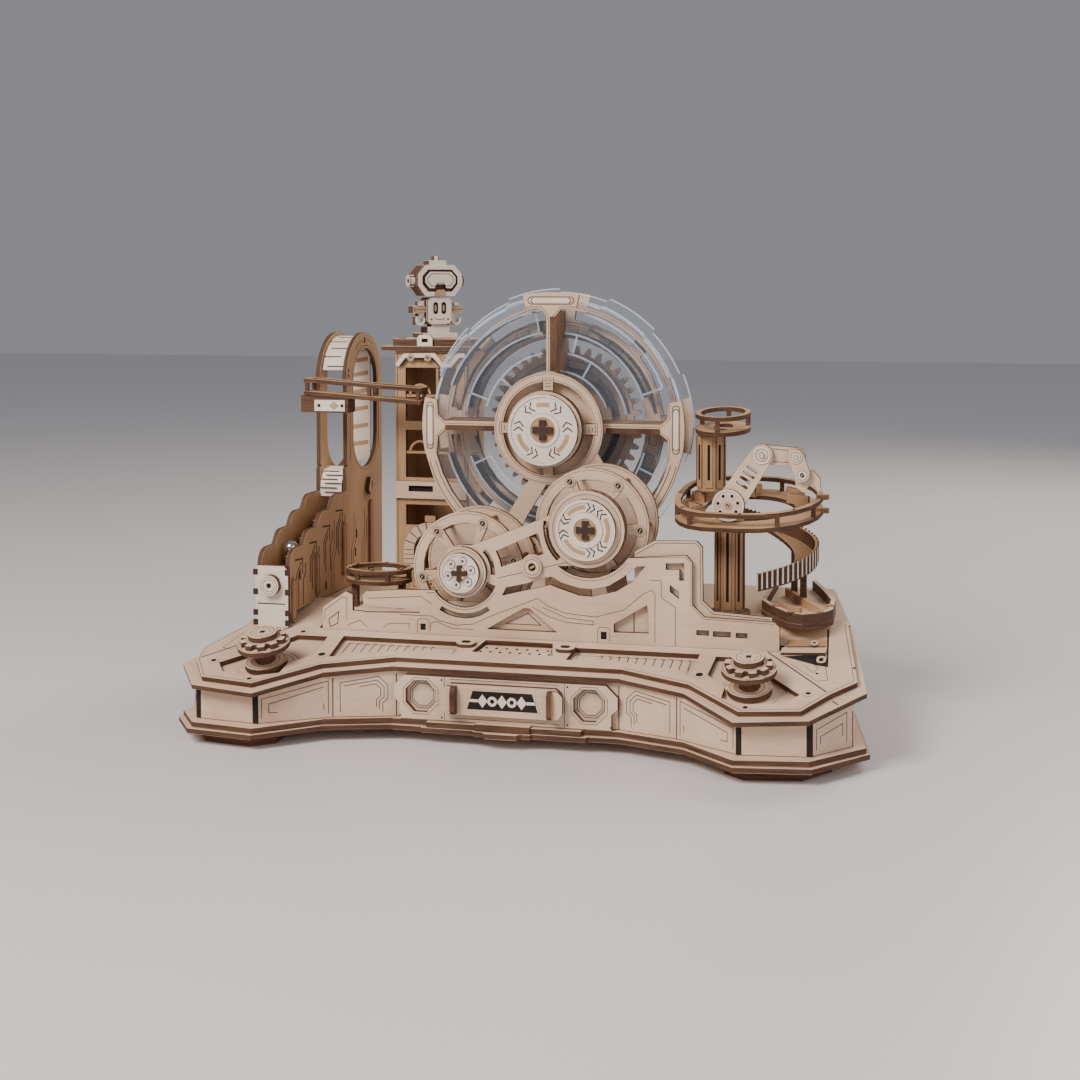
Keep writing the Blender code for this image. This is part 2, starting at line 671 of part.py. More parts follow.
def stepped_disc(r, drop, steps):
    """A disc outline whose radius steps between two values, as finger notches."""
    points = []
    for i in range(steps):
        start = 360.0 * i / steps
        points += arc(*MAZE_AXIS, r, start, start + 0.5 * 360.0 / steps, 3)
        points += arc(*MAZE_AXIS, r - drop, start + 0.5 * 360.0 / steps + 1.0, start + 360.0 / steps - 1.0, 3)
    return points


def make_maze_wheel():
    frame = wheel_plate("wheel_frame", WHEEL_FRONT_Y, 27.0, BORE_R)
    frame += wheel_plate("rear", WHEEL_REAR_Y, 27.0, BORE_R)
    for angle in (0.0, 90.0, 180.0):
        rib = facing_front(
            "rib",
            [turned(box_outline(21.0, -RIB_HALF, 60.0, RIB_HALF), MAZE_AXIS, angle)],
            WHEEL_FRONT_Y + 0.4,
            WHEEL_REAR_Y + PLY - WHEEL_FRONT_Y - 0.8,
        )
        frame.append(rib)
    cradle = window(MAZE_AXIS, 64.0, 69.6, 184.0, 356.0, 18)
    frame.append(facing_front("cradle", [cradle], WHEEL_FRONT_Y + 0.1, PLY - 0.2))
    fuse("wheel_frame", frame)

    slots = [rib_slot(a, 20.6, 60.5) for a in (0.0, 90.0, 180.0)]
    bore = circle(*MAZE_AXIS, BORE_R, 20)
    disc = [stepped_disc(FRONT_DISC_R, 1.6, 8), bore] + slots
    facing_front("front_disc", disc, FRONT_DISC_Y, CLEAR_T, CLEAR)

    shapes = [facing_front("rear_disc", [stepped_disc(REAR_DISC_R, 1.8, 8), bore] + slots, REAR_DISC_Y, CLEAR_T, CLEAR)]
    wall_front = FRONT_DISC_Y + CLEAR_T + GAP
    wall_depth = REAR_DISC_Y + 0.4 - wall_front
    arcs = [(33.0, 8.0, 76.0), (33.0, 104.0, 170.0), (43.0, 14.0, 82.0), (43.0, 100.0, 160.0)]
    arcs += [(53.0, 8.0, 70.0), (53.0, 110.0, 172.0), (43.0, 188.0, 350.0), (54.0, 196.0, 262.0)]
    arcs += [(54.0, 280.0, 344.0), (33.0, 200.0, 330.0)]
    for i, (r, start, stop) in enumerate(arcs):
        wall = window(MAZE_AXIS, r, r + 1.4, start, stop, 5)
        shapes.append(facing_front(f"wall_{i}", [wall], wall_front, wall_depth, CLEAR))
    fuse("rear_disc", shapes)

    ring = [circle(*MAZE_AXIS, 63.5, 48), circle(*MAZE_AXIS, 46.0, 36)]
    for start in (6.0, 48.0, 96.0, 138.0, 186.0, 228.0, 276.0, 318.0):
        ring.append(window(MAZE_AXIS, 55.8, 60.8, start, start + 34.0, 3))
    window_ring = facing_front("window_ring", ring, REAR_DISC_Y + CLEAR_T + GAP)
    notches = [facing_front("notch", [rib_slot(a, 40.0, 60.5)], REAR_DISC_Y, 8.0) for a in (0.0, 90.0, 180.0)]
    cut("window_ring", window_ring, notches)

    maze_phase = 270.0
    gear = facing_front("maze_gear", [gear_outline(MAZE_AXIS, MAZE_TEETH, MODULE, maze_phase)], MAZE_GEAR_Y)
    shaft = axle("shaft", MAZE_AXIS, TOP_DIAL_Y - 1.0, MAZE_GEAR_Y + 8.0)
    fuse("maze_gear", [gear, shaft])
    make_dial("top_dial", MAZE_AXIS, TOP_DIAL_Y, TOP_DIAL_R, 19.7, 3)

    distance = MODULE * (MAZE_TEETH + PINION_TEETH) / 2
    pinion_axis = (MAZE_AXIS[0], MAZE_AXIS[1] - distance)
    pinion_phase = 90.0 + 180.0 / PINION_TEETH
    pinion = facing_front(
        "drive_pinion", [gear_outline(pinion_axis, PINION_TEETH, MODULE, pinion_phase)], MAZE_GEAR_Y
    )
    fuse("drive_pinion", [pinion, axle("shaft", pinion_axis, MAZE_GEAR_Y - 1.0, MAZE_GEAR_Y + 8.0)])
    make_wheel_supports(pinion_axis)


def make_wheel_supports(pinion_axis):
    ax, az = MAZE_AXIS
    foot = PLATFORM_TOP + GAP
    ring = facing_front("hub_support", [circle(ax, az, HUB_RING_R, 48), circle(ax, az, 24.2, 40)], HUB_RING_Y)
    bearing = facing_front("bearing", [circle(ax, az, 9.0, 24), circle(ax, az, BORE_R, 16)], HUB_RING_Y)
    shapes = [ring, bearing]
    for angle in (0.0, 90.0, 180.0, 270.0):
        spoke = turned(box_outline(7.0, -2.6, 25.5, 2.6), MAZE_AXIS, angle)
        shapes.append(facing_front("spoke", [spoke], HUB_RING_Y + 0.1, PLY - 0.2))
    left_leg = [(ax - 0.4, az - 27.8), (ax - 11.4, az - 45.4), (-31.0, foot), (-48.0, foot)]
    left_leg += [(ax - 19.0, az - 40.6), (ax - 8.8, az - 24.3)]
    right_leg = [(ax + 17.5, az - 18.0), (ax + 24.0, az - 9.0), (79.0, foot), (67.0, foot)]
    for i, leg in enumerate((left_leg, right_leg)):
        shapes.append(facing_front(f"leg_{i}", [leg], HUB_RING_Y + 0.15, PLY - 0.3))
    fuse("hub_support", shapes)

    post = [(ax - 13.0, foot), (ax + 13.0, foot), (ax + 7.0, az)]
    post += arc(ax, az, 7.0, 15, 165, 6)
    post += [(ax - 7.0, az)]
    holes = [circle(ax, az, BORE_R, 16), circle(*pinion_axis, BORE_R, 16)]
    facing_front("rear_support", [post] + holes, MAZE_GEAR_Y + PLY + 1.2)


# ---------------------------------------------------------------- stair lift and barrel arch


def stair_side():
    """The side wall's outline: four scalloped steps, two posts and the barrel arch on top."""
    outline = [(40.0, STAIR_FOOT), (40.0, 76.8)]
    y, z = 40.0, 76.8
    for _ in range(4):
        outline += arc(y + 8.0, z, 8.0, 150, 90, 3)
        outline += [(y + STEP_RUN - 1.0, z + 8.0)]
        y += STEP_RUN
        z += STEP_RISE
    outline += [(y + 4.0, z + 1.0), (y + 4.0, z + 13.0)]
    outline += [(118.0, 119.5), (ARCH_Y - ARCH_R + 1.0, 119.5), (ARCH_Y - ARCH_R + 1.0, ARCH_Z - 3.0)]
    outline += arc(ARCH_Y, ARCH_Z, ARCH_R, 180, 0, 14)
    outline += [(ARCH_Y + ARCH_R, STAIR_FOOT)]
    return outline


def make_stair_lift():
    opening = arc(ARCH_Y + 1.5, ARCH_Z, ARCH_INNER_R, 180, 0, 12)
    opening += arc(ARCH_Y + 1.5, 134.0, ARCH_INNER_R, 360, 180, 12)
    for name, x in (("stair_left_wall", STAIR_LEFT_X + PLY), ("stair_right_wall", STAIR_RIGHT_X)):
        wall = facing_right(name, [stair_side(), opening], x)
        cut(name, wall, [under_slope_to_platform()])

    inner_left = STAIR_LEFT_X + PLY + GAP
    inner_right = STAIR_RIGHT_X - PLY - GAP
    width = inner_right - inner_left
    centre = (inner_left + inner_right) / 2

    front = [(STAIR_LEFT_X, 43.8), (STAIR_RIGHT_X, 43.8), (STAIR_RIGHT_X, 74.5), (STAIR_RIGHT_X - 2.0, 77.0)]
    front += [(STAIR_LEFT_X + 2.0, 77.0), (STAIR_LEFT_X, 74.5)]
    panel = facing_front("stair_front_plate", [front], 40.0 - PITCH)
    panel = cut("stair_front_plate", panel, [under_slope(DECK_TOP + GAP)])
    boss = rod("boss", (centre, 34.4, 67.3), (centre, 38.5, 67.3), 5.2, 24)
    fuse("stair_front_plate", [panel, boss])

    steps = [(44.0, STAIR_FOOT + 0.6)]
    y, z = 40.5, 72.0
    for i in range(4):
        steps += [(y + (3.5 if i == 0 else 0.0), z), (y + STEP_RUN - 9.3, z)]
        if i in (0, 1, 2):
            steps += [(y + STEP_RUN - 9.3, z + STEP_RISE)]
        y += STEP_RUN
        z += STEP_RISE
    steps[-1] = (114.0, z - STEP_RISE)
    steps += [(114.0, STAIR_FOOT + 0.6)]
    stairs = facing_right("stair_steps", [fixed_steps()], inner_right, width)
    cut("stair_steps", stairs, [under_slope_to_platform()])

    facing_right("stair_lift", [lift_comb()], centre + 3.6, 7.2)
    ball = (centre, 62.2, lift_top(62.2) + BALL_R + GAP)
    make_ball("steel_ball", ball)

    make_strips(inner_left, inner_right)
    make_top_track()


def fixed_steps():
    """The fixed half of each step, as one stepped block under the lift's path."""
    outline = [(43.5, STAIR_FOOT)]
    y, z = 43.5, 66.0
    for _ in range(4):
        outline += [(y, z), (y + STEP_RUN, z)]
        y += STEP_RUN
        z += STEP_RISE
    outline += [(y, STAIR_FOOT)]
    return outline


def lift_top(y):
    """The height of the lift's tread above a point along the stairs, at rest."""
    step = int((y - 44.0) // STEP_RUN)
    return 66.0 + STEP_RISE * step + GAP + 4.5


def lift_comb():
    """The moving comb: treads 4.5 high that rest just over the fixed steps and rise together."""
    under, over = [], []
    y, z = 43.9, 66.0 + GAP
    for i in range(4):
        under += [(y if i == 0 else y - 0.4, z), (y + STEP_RUN - 0.7, z)]
        over += [(y if i == 0 else y - 0.4, z + 4.5), (y + STEP_RUN - 0.7, z + 4.5)]
        y += STEP_RUN
        z += STEP_RISE
    return under + over[::-1]


def under_slope_to_platform():
    """Below the deck where it slopes and below the platform behind it, with the usual gap."""
    deck = DECK_TOP + GAP
    knee = SLOPE_END + 1.0
    loop = [(-60.0, -40.0), (200.0, -40.0), (200.0, PLATFORM_TOP + GAP), (knee, PLATFORM_TOP + GAP)]
    loop += [(knee, deck + SLOPE * knee), (-60.0, deck - SLOPE * 60.0)]
    return facing_right("below", [loop], 200.0, 400.0)


def make_ball(name, centre):
    bpy.ops.mesh.primitive_uv_sphere_add(segments=20, ring_count=12, radius=BALL_R * MM, location=place(*centre))
    ball = bpy.context.object
    ball.name = name
    ball.data.name = name
    for collection in list(ball.users_collection):
        collection.objects.unlink(ball)
    parts.objects.link(ball)
    ball.data.materials.append(material(STEEL))
    ball.data.shade_smooth()


def make_strips(inner_left, inner_right):
    """The flexible slatted strips: one over the barrel arch and one over the block below it."""
    width = inner_right - inner_left
    mid_r = (ARCH_R + ARCH_INNER_R) / 2 + 1.6
    barrel = [(ARCH_Y + mid_r * math.cos(a), ARCH_Z + mid_r * math.sin(a)) for a in steps_between(165, 20, 12)]
    facing_right("barrel_strip", [strip(barrel, 1.6)], inner_right, width)
    low = [(115.8, 102.5), (116.6, 110.0), (119.5, 116.0), (125.5, 117.6)]
    facing_right("lower_strip", [strip(low, 1.6)], inner_right, width)


def steps_between(start, stop, count):
    return [math.radians(start + (stop - start) * i / count) for i in range(count + 1)]


def make_top_track():
    """Two stacked rails in front of the barrel arch, which carry the ball to the maze wheel."""
    y0, y1 = 93.0, 105.0
    left, right = (-137.0, 169.0), (-70.5, 164.5)
    drop = (right[1] - left[1]) / (right[0] - left[0])
    angle = math.degrees(math.atan(drop))
    across = Vector((math.cos(math.radians(angle)), 0.0, math.sin(math.radians(angle))))
    length = math.hypot(right[0] - left[0], right[1] - left[1])
    outer = [(0.0, 0.0), (length, 0.0), (length, y1 - y0), (0.0, y1 - y0)]
    inner = [(3.0, 2.4), (length - 3.0, 2.4), (length - 3.0, y1 - y0 - 2.4), (3.0, y1 - y0 - 2.4)]
    upper = plate("top_track", [outer, inner], (left[0], y0, left[1]), across, Y_AXIS, 2.2)
    lower = plate("lower", [outer], (left[0], y0, left[1] - 6.8), across, Y_AXIS, 2.2)
    shapes = [upper, lower]
    for x in (-135.5, -100.0, -72.5):
        for y in (y0 + 1.2, y1 - 1.2):
            z = left[1] + (x - left[0]) * drop
            shapes.append(box("spacer", (x - 1.0, y - 0.9, z - 8.0), (x + 1.0, y + 0.9, z - 1.0)))
    bracket_top = left[1] + (-112.0 - left[0]) * drop - 7.6
    shapes.append(box("bracket", (STAIR_LEFT_X + 1.0, y0 + 0.8, 150.5), (-112.0, y1 - 0.8, bracket_top)))
    arm_low = (STAIR_LEFT_X + 6.0, y1 - 2.0, 151.5)
    arm_high = (STAIR_RIGHT_X - 6.0, ARCH_Y - ARCH_R - GAP, 157.0)
    shapes.append(box("bracket_arm", arm_low, arm_high))
    fuse("top_track", shapes)


# ---------------------------------------------------------------- tower and robot


def make_tower():
    left, right = TOWER_X - TOWER_WIDTH / 2, TOWER_X + TOWER_WIDTH / 2
    foot = PLATFORM_TOP + GAP
    front = box_outline(left, foot, right, TOWER_TOP)
    door = [(TOWER_X - 9.0, foot + 12.0), (TOWER_X + 9.0, foot + 12.0)] + arc(TOWER_X, foot + 22.0, 9.0, 0, 180, 8)
    openings = [
        box_outline(left + 6.0, 145.0, right - 6.0, 174.0),
        box_outline(left + 6.0, 114.0, right - 6.0, 140.0),
        box_outline(left + 8.5, 104.0, right - 8.5, 107.0),
        box_outline(left + 6.0, 88.0, right - 6.0, 99.0),
        door,
    ]
    facing_front("tower_front", [front] + openings, TOWER_FRONT)
    shell_path = [
        (left + 1.25, TOWER_FRONT + PITCH),
        (left + 1.25, TOWER_BACK),
        (right - 1.25, TOWER_BACK),
        (right - 1.25, TOWER_FRONT + PITCH),
    ]
    plate(
        "tower_shell",
        [strip(shell_path, PLY)],
        (0.0, 0.0, TOWER_TOP),
        X_AXIS,
        Y_AXIS,
        TOWER_TOP - foot,
    )
    eave = [(left - 7.0, 115.2), (right + 3.0, 115.2), (right + 7.0, 119.0), (right + 7.0, 152.0), (left - 7.0, 152.0)]
    roof = [
        facing_up("tower_roof", [eave], TOWER_TOP + PITCH),
        box("upper", (left - 1.0, 117.0, TOWER_TOP + 2.5), (right + 3.0, 149.0, TOWER_TOP + 6.8)),
    ]
    fuse("tower_roof", roof)
    make_robot()


def face_right(obj):
    """Turns a piece of the robot about its own upright axis."""
    centre = place(ROBOT_AXIS[0], ROBOT_AXIS[1], 0.0)
    spin = Matrix.Rotation(math.radians(ROBOT_YAW), 4, "Z")
    obj.matrix_world = Matrix.Translation(centre) @ spin @ Matrix.Translation(-centre) @ obj.matrix_world


def make_robot():
    x, y = ROBOT_AXIS
    base = TOWER_TOP + 6.8 + GAP
    plinth = [
        box("robot_body", (x - 10.5, y - 7.0, base), (x + 10.5, y + 7.0, base + 2.7)),
        box("step", (x - 6.5, y - 5.0, base + 2.5), (x + 6.5, y + 5.0, base + 6.1)),
        box("waist", (x - 3.6, y - 3.4, base + 5.9), (x + 3.6, y + 3.4, 198.2)),
    ]
    chest = [(x - 7.2, 199.5), (x - 5.4, 197.7), (x + 5.4, 197.7), (x + 7.2, 199.5), (x + 7.2, 210.5)]
    chest += [(x + 5.4, 212.3), (x - 5.4, 212.3), (x - 7.2, 210.5)]
    plinth.append(facing_front("chest", [chest], y - 5.0, 10.0))
    plinth.append(box("neck", (x - 2.0, y - 2.0, 212.0), (x + 2.0, y + 2.0, 212.7)))
    face_right(fuse("robot_body", plinth))

    head = [(x - 13.1, 218.9), (x - 8.75, 213.0), (x + 8.75, 213.0), (x + 13.1, 218.9), (x + 13.1, 224.9)]
    head += [(x + 8.75, 230.1), (x - 8.75, 230.1), (x - 13.1, 224.9)]
    shapes = [
        facing_front("robot_head", [head], y - 5.3, 10.6),
        rod("ears", (x - 15.5, y, 221.4), (x + 15.5, y, 221.4), 3.3, 20),
        box("cap", (x - 5.2, y - 4.0, 229.9), (x + 5.2, y + 4.0, 232.6)),
        rod("button", (x, y, 232.4), (x, y, 235.0), 2.0, 12),
    ]
    face_right(fuse("robot_head", shapes))

    for name, side in (("robot_left_arm", -1), ("robot_right_arm", 1)):
        inner = x + side * (7.2 + GAP)
        arm = [
            box(name, sorted_low(inner, side, 3.4, y - 2.6, 200.6), sorted_high(inner, side, 3.4, y + 2.6, 210.4)),
            box("band", sorted_low(inner, side, 7.0, y - 3.4, 203.6), sorted_high(inner, side, 7.0, y + 3.4, 207.8)),
            box("hand", sorted_low(inner, side, 5.2, y - 2.2, 197.0), sorted_high(inner, side, 5.2, y + 2.2, 202.0)),
        ]
        face_right(fuse(name, arm))


def sorted_low(inner, side, reach, y, z):
    return (min(inner, inner + side * reach), y, z)


def sorted_high(inner, side, reach, y, z):
    return (max(inner, inner + side * reach), y, z)


# ---------------------------------------------------------------- right-hand tracks


def oval_point(half_x, half_y, angle, square):
    """A point of the oval, whose left end may be squared."""
    c, s = math.cos(angle), math.sin(angle)
    if square and c < 0.0:
        return -half_x * math.sqrt(-c), math.copysign(half_y * abs(s) ** 0.8, s)
    return half_x * c, half_y * s


def tilted_ring(name, centre, half_x, half_y, z, tilt, band, thickness, square, steps=24):
    """An oval plate, open in the middle, tilted so that its back is higher."""
    up = Vector((0.0, math.cos(math.radians(tilt)), math.sin(math.radians(tilt))))
    angles = steps_between(0, 360 - 360 / steps, steps - 1)
    loops = [[oval_point(half_x - inset, half_y - inset, a, square) for a in angles] for inset in (0.0, band)]
    return plate(name, loops, (centre[0], centre[1], z), X_AXIS, up, thickness)


def oval_track(name, centre, half_x, half_y, z, tilt, rail_gap, posts, band=3.0, floor_band=14.0, square=False):
    """Two stacked oval rails: a narrow guard rail over a wider running rail, with posts between."""
    shapes = [
        tilted_ring(name, centre, half_x, half_y, z, tilt, band, 2.2, square),
        tilted_ring("lower", centre, half_x, half_y, z - rail_gap, tilt, floor_band, 2.2, square),
    ]
    rise = math.tan(math.radians(tilt))
    for angle in posts:
        u, v = oval_point(half_x - band / 2, half_y - band / 2, math.radians(angle), square)
        x, y = centre[0] + u, centre[1] + v
        top = z + (y - centre[1]) * rise
        shapes.append(box("post", (x - 1.1, y - 1.1, top - rail_gap - 1.2), (x + 1.1, y + 1.1, top - 1.2)))
    return fuse(name, shapes)


def octagon_column(name, centre, r, low, high, top_plate, foot_ring):
    shapes = [facing_up(name, [arc(*centre, r, 22.5, 337.5, 7)], high, high - low)]
    if foot_ring:
        shapes.append(facing_up("foot", [circle(*centre, foot_ring, 28)], low + PLY - 0.1))
    if top_plate:
        shapes.append(facing_up("head", [circle(*centre, top_plate, 24)], high + 0.1))
    return fuse(name, shapes)


def make_right_side():
    tilt = 8.0
    mid_centre = (105.2, 92.0)
    mid_half = (37.0, 38.0)
    mid_z = MID_TRACK_Z + 6.2
    posts = (20, 70, 110, 160, 200, 240, 300, 340)
    oval_track("mid_track", mid_centre, *mid_half, mid_z, tilt, 6.8, posts, square=True)
    upper_centre = (90.2, 100.0)
    upper = oval_track(
        "upper_track", upper_centre, 14.0, 20.0, UPPER_TRACK_Z + 1.6, 4.0, 7.6, (20, 90, 160, 270), 2.6, 9.0
    )
    foot = PLATFORM_TOP + GAP
    octagon_column("lower_column", LOWER_COLUMN, 7.6, foot, 105.4, 0.0, 10.5)
    octagon_column("upper_column", UPPER_COLUMN, 7.4, 114.2, 143.6, 0.0, 0.0)
    make_column_seats(upper)
    make_spiral_ramp()
    make_tray()
    make_arm()


def make_column_seats(upper):
    """The cross pieces that let each column carry the track over it."""
    shapes = [
        upper,
        box("seat", (UPPER_COLUMN[0] - 7.0, UPPER_COLUMN[1] - 4.0, 144.0), (UPPER_COLUMN[0] + 18.0, UPPER_COLUMN[1] + 4.0, 146.2)),
    ]
    fuse("upper_track", shapes)


def make_spiral_ramp():
    """A helical floor with a kerf-cut outer wall, going down round the lower column's right side."""
    centre = (118.0, 100.0)
    inner_r, outer_r = 9.0, 21.0
    start, stop, steps = 165.0, -110.0, 22
    top, bottom = 96.0, 66.0
    bm = bmesh.new()
    rings = []
    for i in range(steps + 1):
        t = i / steps
        a = math.radians(start + (stop - start) * t)
        z = top + (bottom - top) * t
        profile = [(inner_r, z), (outer_r, z), (outer_r, z + 9.0), (outer_r - 1.6, z + 9.0)]
        profile += [(outer_r - 1.6, z + 2.0), (inner_r, z + 2.0)]
        ring = []
        for r, h in profile:
            point = place(centre[0] + r * math.cos(a), centre[1] + r * math.sin(a), h)
            ring.append(bm.verts.new(point))
        rings.append(ring)
    for first, second in zip(rings, rings[1:]):
        for j in range(len(first)):
            k = (j + 1) % len(first)
            bm.faces.new((first[j], first[k], second[k], second[j]))
    bm.faces.new(rings[0])
    bm.faces.new(rings[-1][::-1])
    bmesh.ops.recalc_face_normals(bm, faces=bm.faces)
    mesh = bpy.data.meshes.new("spiral_ramp")
    bm.to_mesh(mesh)
    bm.free()
    mesh.materials.append(material(PALE_PLY))
    ramp = bpy.data.objects.new("spiral_ramp", mesh)
    parts.objects.link(ramp)
    foot = TRAY_TOP + GAP
    posts = []
    for angle in (60.0, -20.0):
        a = math.radians(angle)
        t = (angle - start) / (stop - start)
        x, y = centre[0] + 15.0 * math.cos(a), centre[1] + 15.0 * math.sin(a)
        posts.append(box("post", (x - 1.6, y - 1.6, foot), (x + 1.6, y + 1.6, top + (bottom - top) * t + 0.8)))
    fuse("spiral_ramp", [ramp] + posts)


def make_tray():
    """The collecting tray: a raised floor with a wall round it, running forward beside the fascia."""
    floor = [(113.0, 79.0), (119.0, 66.0), (129.0, 50.0), (137.0, 46.0), (146.0, 52.0), (150.0, 62.0)]
    floor += [(149.0, 88.0), (141.0, 118.0), (134.0, 140.0), (112.0, 140.0)]
    shapes = [facing_up("collecting_tray", [floor], TRAY_TOP)]
    wall = [(113.2, 138.0), (114.2, 79.4), (120.1, 66.5), (129.8, 51.0), (137.0, 47.5), (145.0, 52.7)]
    wall += [(148.8, 62.3), (147.8, 87.8), (139.8, 117.6), (133.2, 138.0)]
    shapes.append(plate("wall", [strip(wall, 2.2)], (0.0, 0.0, TRAY_TOP + 5.0), X_AXIS, Y_AXIS, 6.0))
    foot = PLATFORM_TOP + GAP
    for x, y in ((118.0, 128.0), (134.0, 84.0)):
        shapes.append(box("foot", (x, y, foot), (x + 6.0, y + 6.0, TRAY_TOP - PLY + 0.2)))
    fuse("collecting_tray", shapes)


# ---------------------------------------------------------------- robotic arm


def link_outline(p, q, rp, rq):
    """A link plate's outline: two round ends of given radii joined by straight sides."""
    a = math.degrees(math.atan2(q[1] - p[1], q[0] - p[0]))
    return arc(*q, rq, a - 90, a + 90, 8) + arc(*p, rp, a + 90, a + 270, 8)


def make_arm():
    y = ARM_Y
    shoulder_foot = mid_floor_height(y + 4.0)
    pedestal = [
        facing_front(
            "arm_pedestal",
            [box_outline(SHOULDER[0] - 7.0, shoulder_foot, SHOULDER[0] + 7.0, SHOULDER[1])],
            y + PITCH,
            3.2,
        ),
        facing_front("cheek", [circle(*SHOULDER, 7.4, 28)], y + PITCH + 0.1, 3.0),
    ]
    bored = fuse("arm_pedestal", pedestal)
    cut("arm_pedestal", bored, [axle("bore", SHOULDER, y - 5.0, y + 12.0, 1.8, 12)])

    ends = link_outline(SHOULDER, ELBOW, 6.8, 5.4)
    slots = []
    dx, dz = ELBOW[0] - SHOULDER[0], ELBOW[1] - SHOULDER[1]
    span = math.hypot(dx, dz)
    for i in range(4):
        t = 0.40 + 0.105 * i
        c = (SHOULDER[0] + dx * t, SHOULDER[1] + dz * t)
        side = (-dz / span, dx / span)
        slots.append(slot_outline((c[0] - side[0] * 2.6, c[1] - side[1] * 2.6), (c[0] + side[0] * 2.6, c[1] + side[1] * 2.6), 0.8, 3))
    shapes = [
        facing_front("upper_arm", [ends] + slots, y),
        facing_front("shoulder_disc", [circle(*SHOULDER, 7.9, 32)], y - PLY + 0.1),
        axle("pin", SHOULDER, y + 1.0, y + PITCH + 4.5, 1.5, 12),
    ]
    arm = fuse("upper_arm", shapes)
    cut("upper_arm", arm, [axle("bore", ELBOW, y - 5.0, y + 5.0, 1.8, 12)])

    fore = [
        facing_front("forearm", [link_outline(ELBOW, WRIST, 5.0, 4.4)], y + PITCH),
        axle("elbow_pin", ELBOW, y - 1.8, y + PITCH + 1.0, 1.5, 12),
        axle("wrist_pin", WRIST, y - 1.0, y + PITCH + 1.0, 1.5, 12),
    ]
    fuse("forearm", fore)

    wrist = facing_front("wrist_link", [link_outline(WRIST, KNUCKLE, 3.9, 3.9)], y)
    wrist = cut("wrist_link", wrist, [axle("bore", WRIST, y - 5.0, y + 5.0, 1.8, 12)])
    fuse("wrist_link", [wrist, axle("pin", KNUCKLE, y + 1.0, y + PITCH + PLY + 0.6, 1.5, 12)])

    kx, kz = KNUCKLE
    hook = [(kx - 4.0, kz - 1.0), (kx - 3.4, kz - 6.5), (kx + 0.6, kz - 9.0), (kx + 3.4, kz - 5.0)]
    hook += [(kx + 5.4, kz - 4.2), (kx + 7.4, kz - 8.6), (kx + 8.8, kz - 7.4), (kx + 8.2, kz - 1.4), (kx + 4.6, kz + 2.4)]
    hook += arc(kx, kz, 3.6, 30, 180, 6)
    facing_front("claw", [hook, circle(kx, kz, 1.8, 12)], y + PITCH)


def mid_floor_height(y):
    """The top of the mid track's running rail, for the pedestal that stands on it."""
    return MID_TRACK_Z + 6.2 - 6.8 + (y - 92.0) * math.tan(math.radians(8.0)) + GAP


def make_lower_left_track():
    """The small oval track beside the stairs, on two legs."""
    centre = (-84.0, 66.0)
    shapes = [oval_track("lower_left_track", centre, 17.5, 12.0, 73.4, 2.0, 5.2, (0, 60, 120, 180, 240, 300), 2.4, 7.0)]
    for x in (-97.0, -71.5):
        shapes.append(box("leg", (x - 1.6, 64.4, 50.0), (x + 1.6, 67.6, 69.0)))
    track = fuse("lower_left_track", shapes)
    cut("lower_left_track", track, [under_slope(DECK_TOP + GAP)])


make_base()
make_knob("left_knob", -KNOB_X)
make_knob("right_knob", KNOB_X)
make_fascia()
make_front_train()
make_maze_wheel()
make_stair_lift()
make_tower()
make_right_side()
make_lower_left_track()
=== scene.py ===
import json
import math

import bmesh
import bpy
from mathutils import Matrix, Vector
from mathutils.geometry import tessellate_polygon

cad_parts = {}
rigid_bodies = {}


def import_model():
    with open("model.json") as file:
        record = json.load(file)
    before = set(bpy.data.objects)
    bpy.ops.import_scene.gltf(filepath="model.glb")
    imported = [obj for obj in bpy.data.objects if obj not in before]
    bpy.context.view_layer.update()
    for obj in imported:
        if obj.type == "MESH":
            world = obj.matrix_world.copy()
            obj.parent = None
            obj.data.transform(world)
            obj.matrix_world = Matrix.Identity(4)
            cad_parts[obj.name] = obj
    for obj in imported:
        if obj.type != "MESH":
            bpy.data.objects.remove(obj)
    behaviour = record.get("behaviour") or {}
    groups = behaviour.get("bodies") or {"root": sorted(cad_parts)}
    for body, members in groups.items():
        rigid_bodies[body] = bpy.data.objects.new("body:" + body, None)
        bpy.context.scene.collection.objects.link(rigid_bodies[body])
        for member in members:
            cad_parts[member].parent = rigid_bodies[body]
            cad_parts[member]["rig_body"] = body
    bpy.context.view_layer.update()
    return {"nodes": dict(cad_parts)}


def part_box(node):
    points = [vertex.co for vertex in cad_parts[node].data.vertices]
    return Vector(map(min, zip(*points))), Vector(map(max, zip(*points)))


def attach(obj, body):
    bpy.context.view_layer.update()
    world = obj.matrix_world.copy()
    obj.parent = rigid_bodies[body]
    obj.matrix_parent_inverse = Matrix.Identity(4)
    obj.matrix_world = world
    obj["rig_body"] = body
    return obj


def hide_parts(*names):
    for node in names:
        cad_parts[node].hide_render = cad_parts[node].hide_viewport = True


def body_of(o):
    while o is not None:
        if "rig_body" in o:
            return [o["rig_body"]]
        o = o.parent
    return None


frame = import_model()

# The drawing is in millimetres, with Y counted from the line through the knobs and X from the middle
# between them.
MM = 0.001
DRAW_TO_ORIGIN = -75.0
DRAW_TO_CENTRE = -4.25
SLOPE = 0.25
COS = 1.0 / math.hypot(1.0, SLOPE)
RIM_TOP = 33.2
DECK_TOP = RIM_TOP + 2.8 / COS
X = Vector((1.0, 0.0, 0.0))
Y = Vector((0.0, 1.0, 0.0))
Z = Vector((0.0, 0.0, 1.0))
UPHILL = Vector((0.0, COS, SLOPE * COS))
DECK_NORMAL = Vector((0.0, -SLOPE * COS, COS))


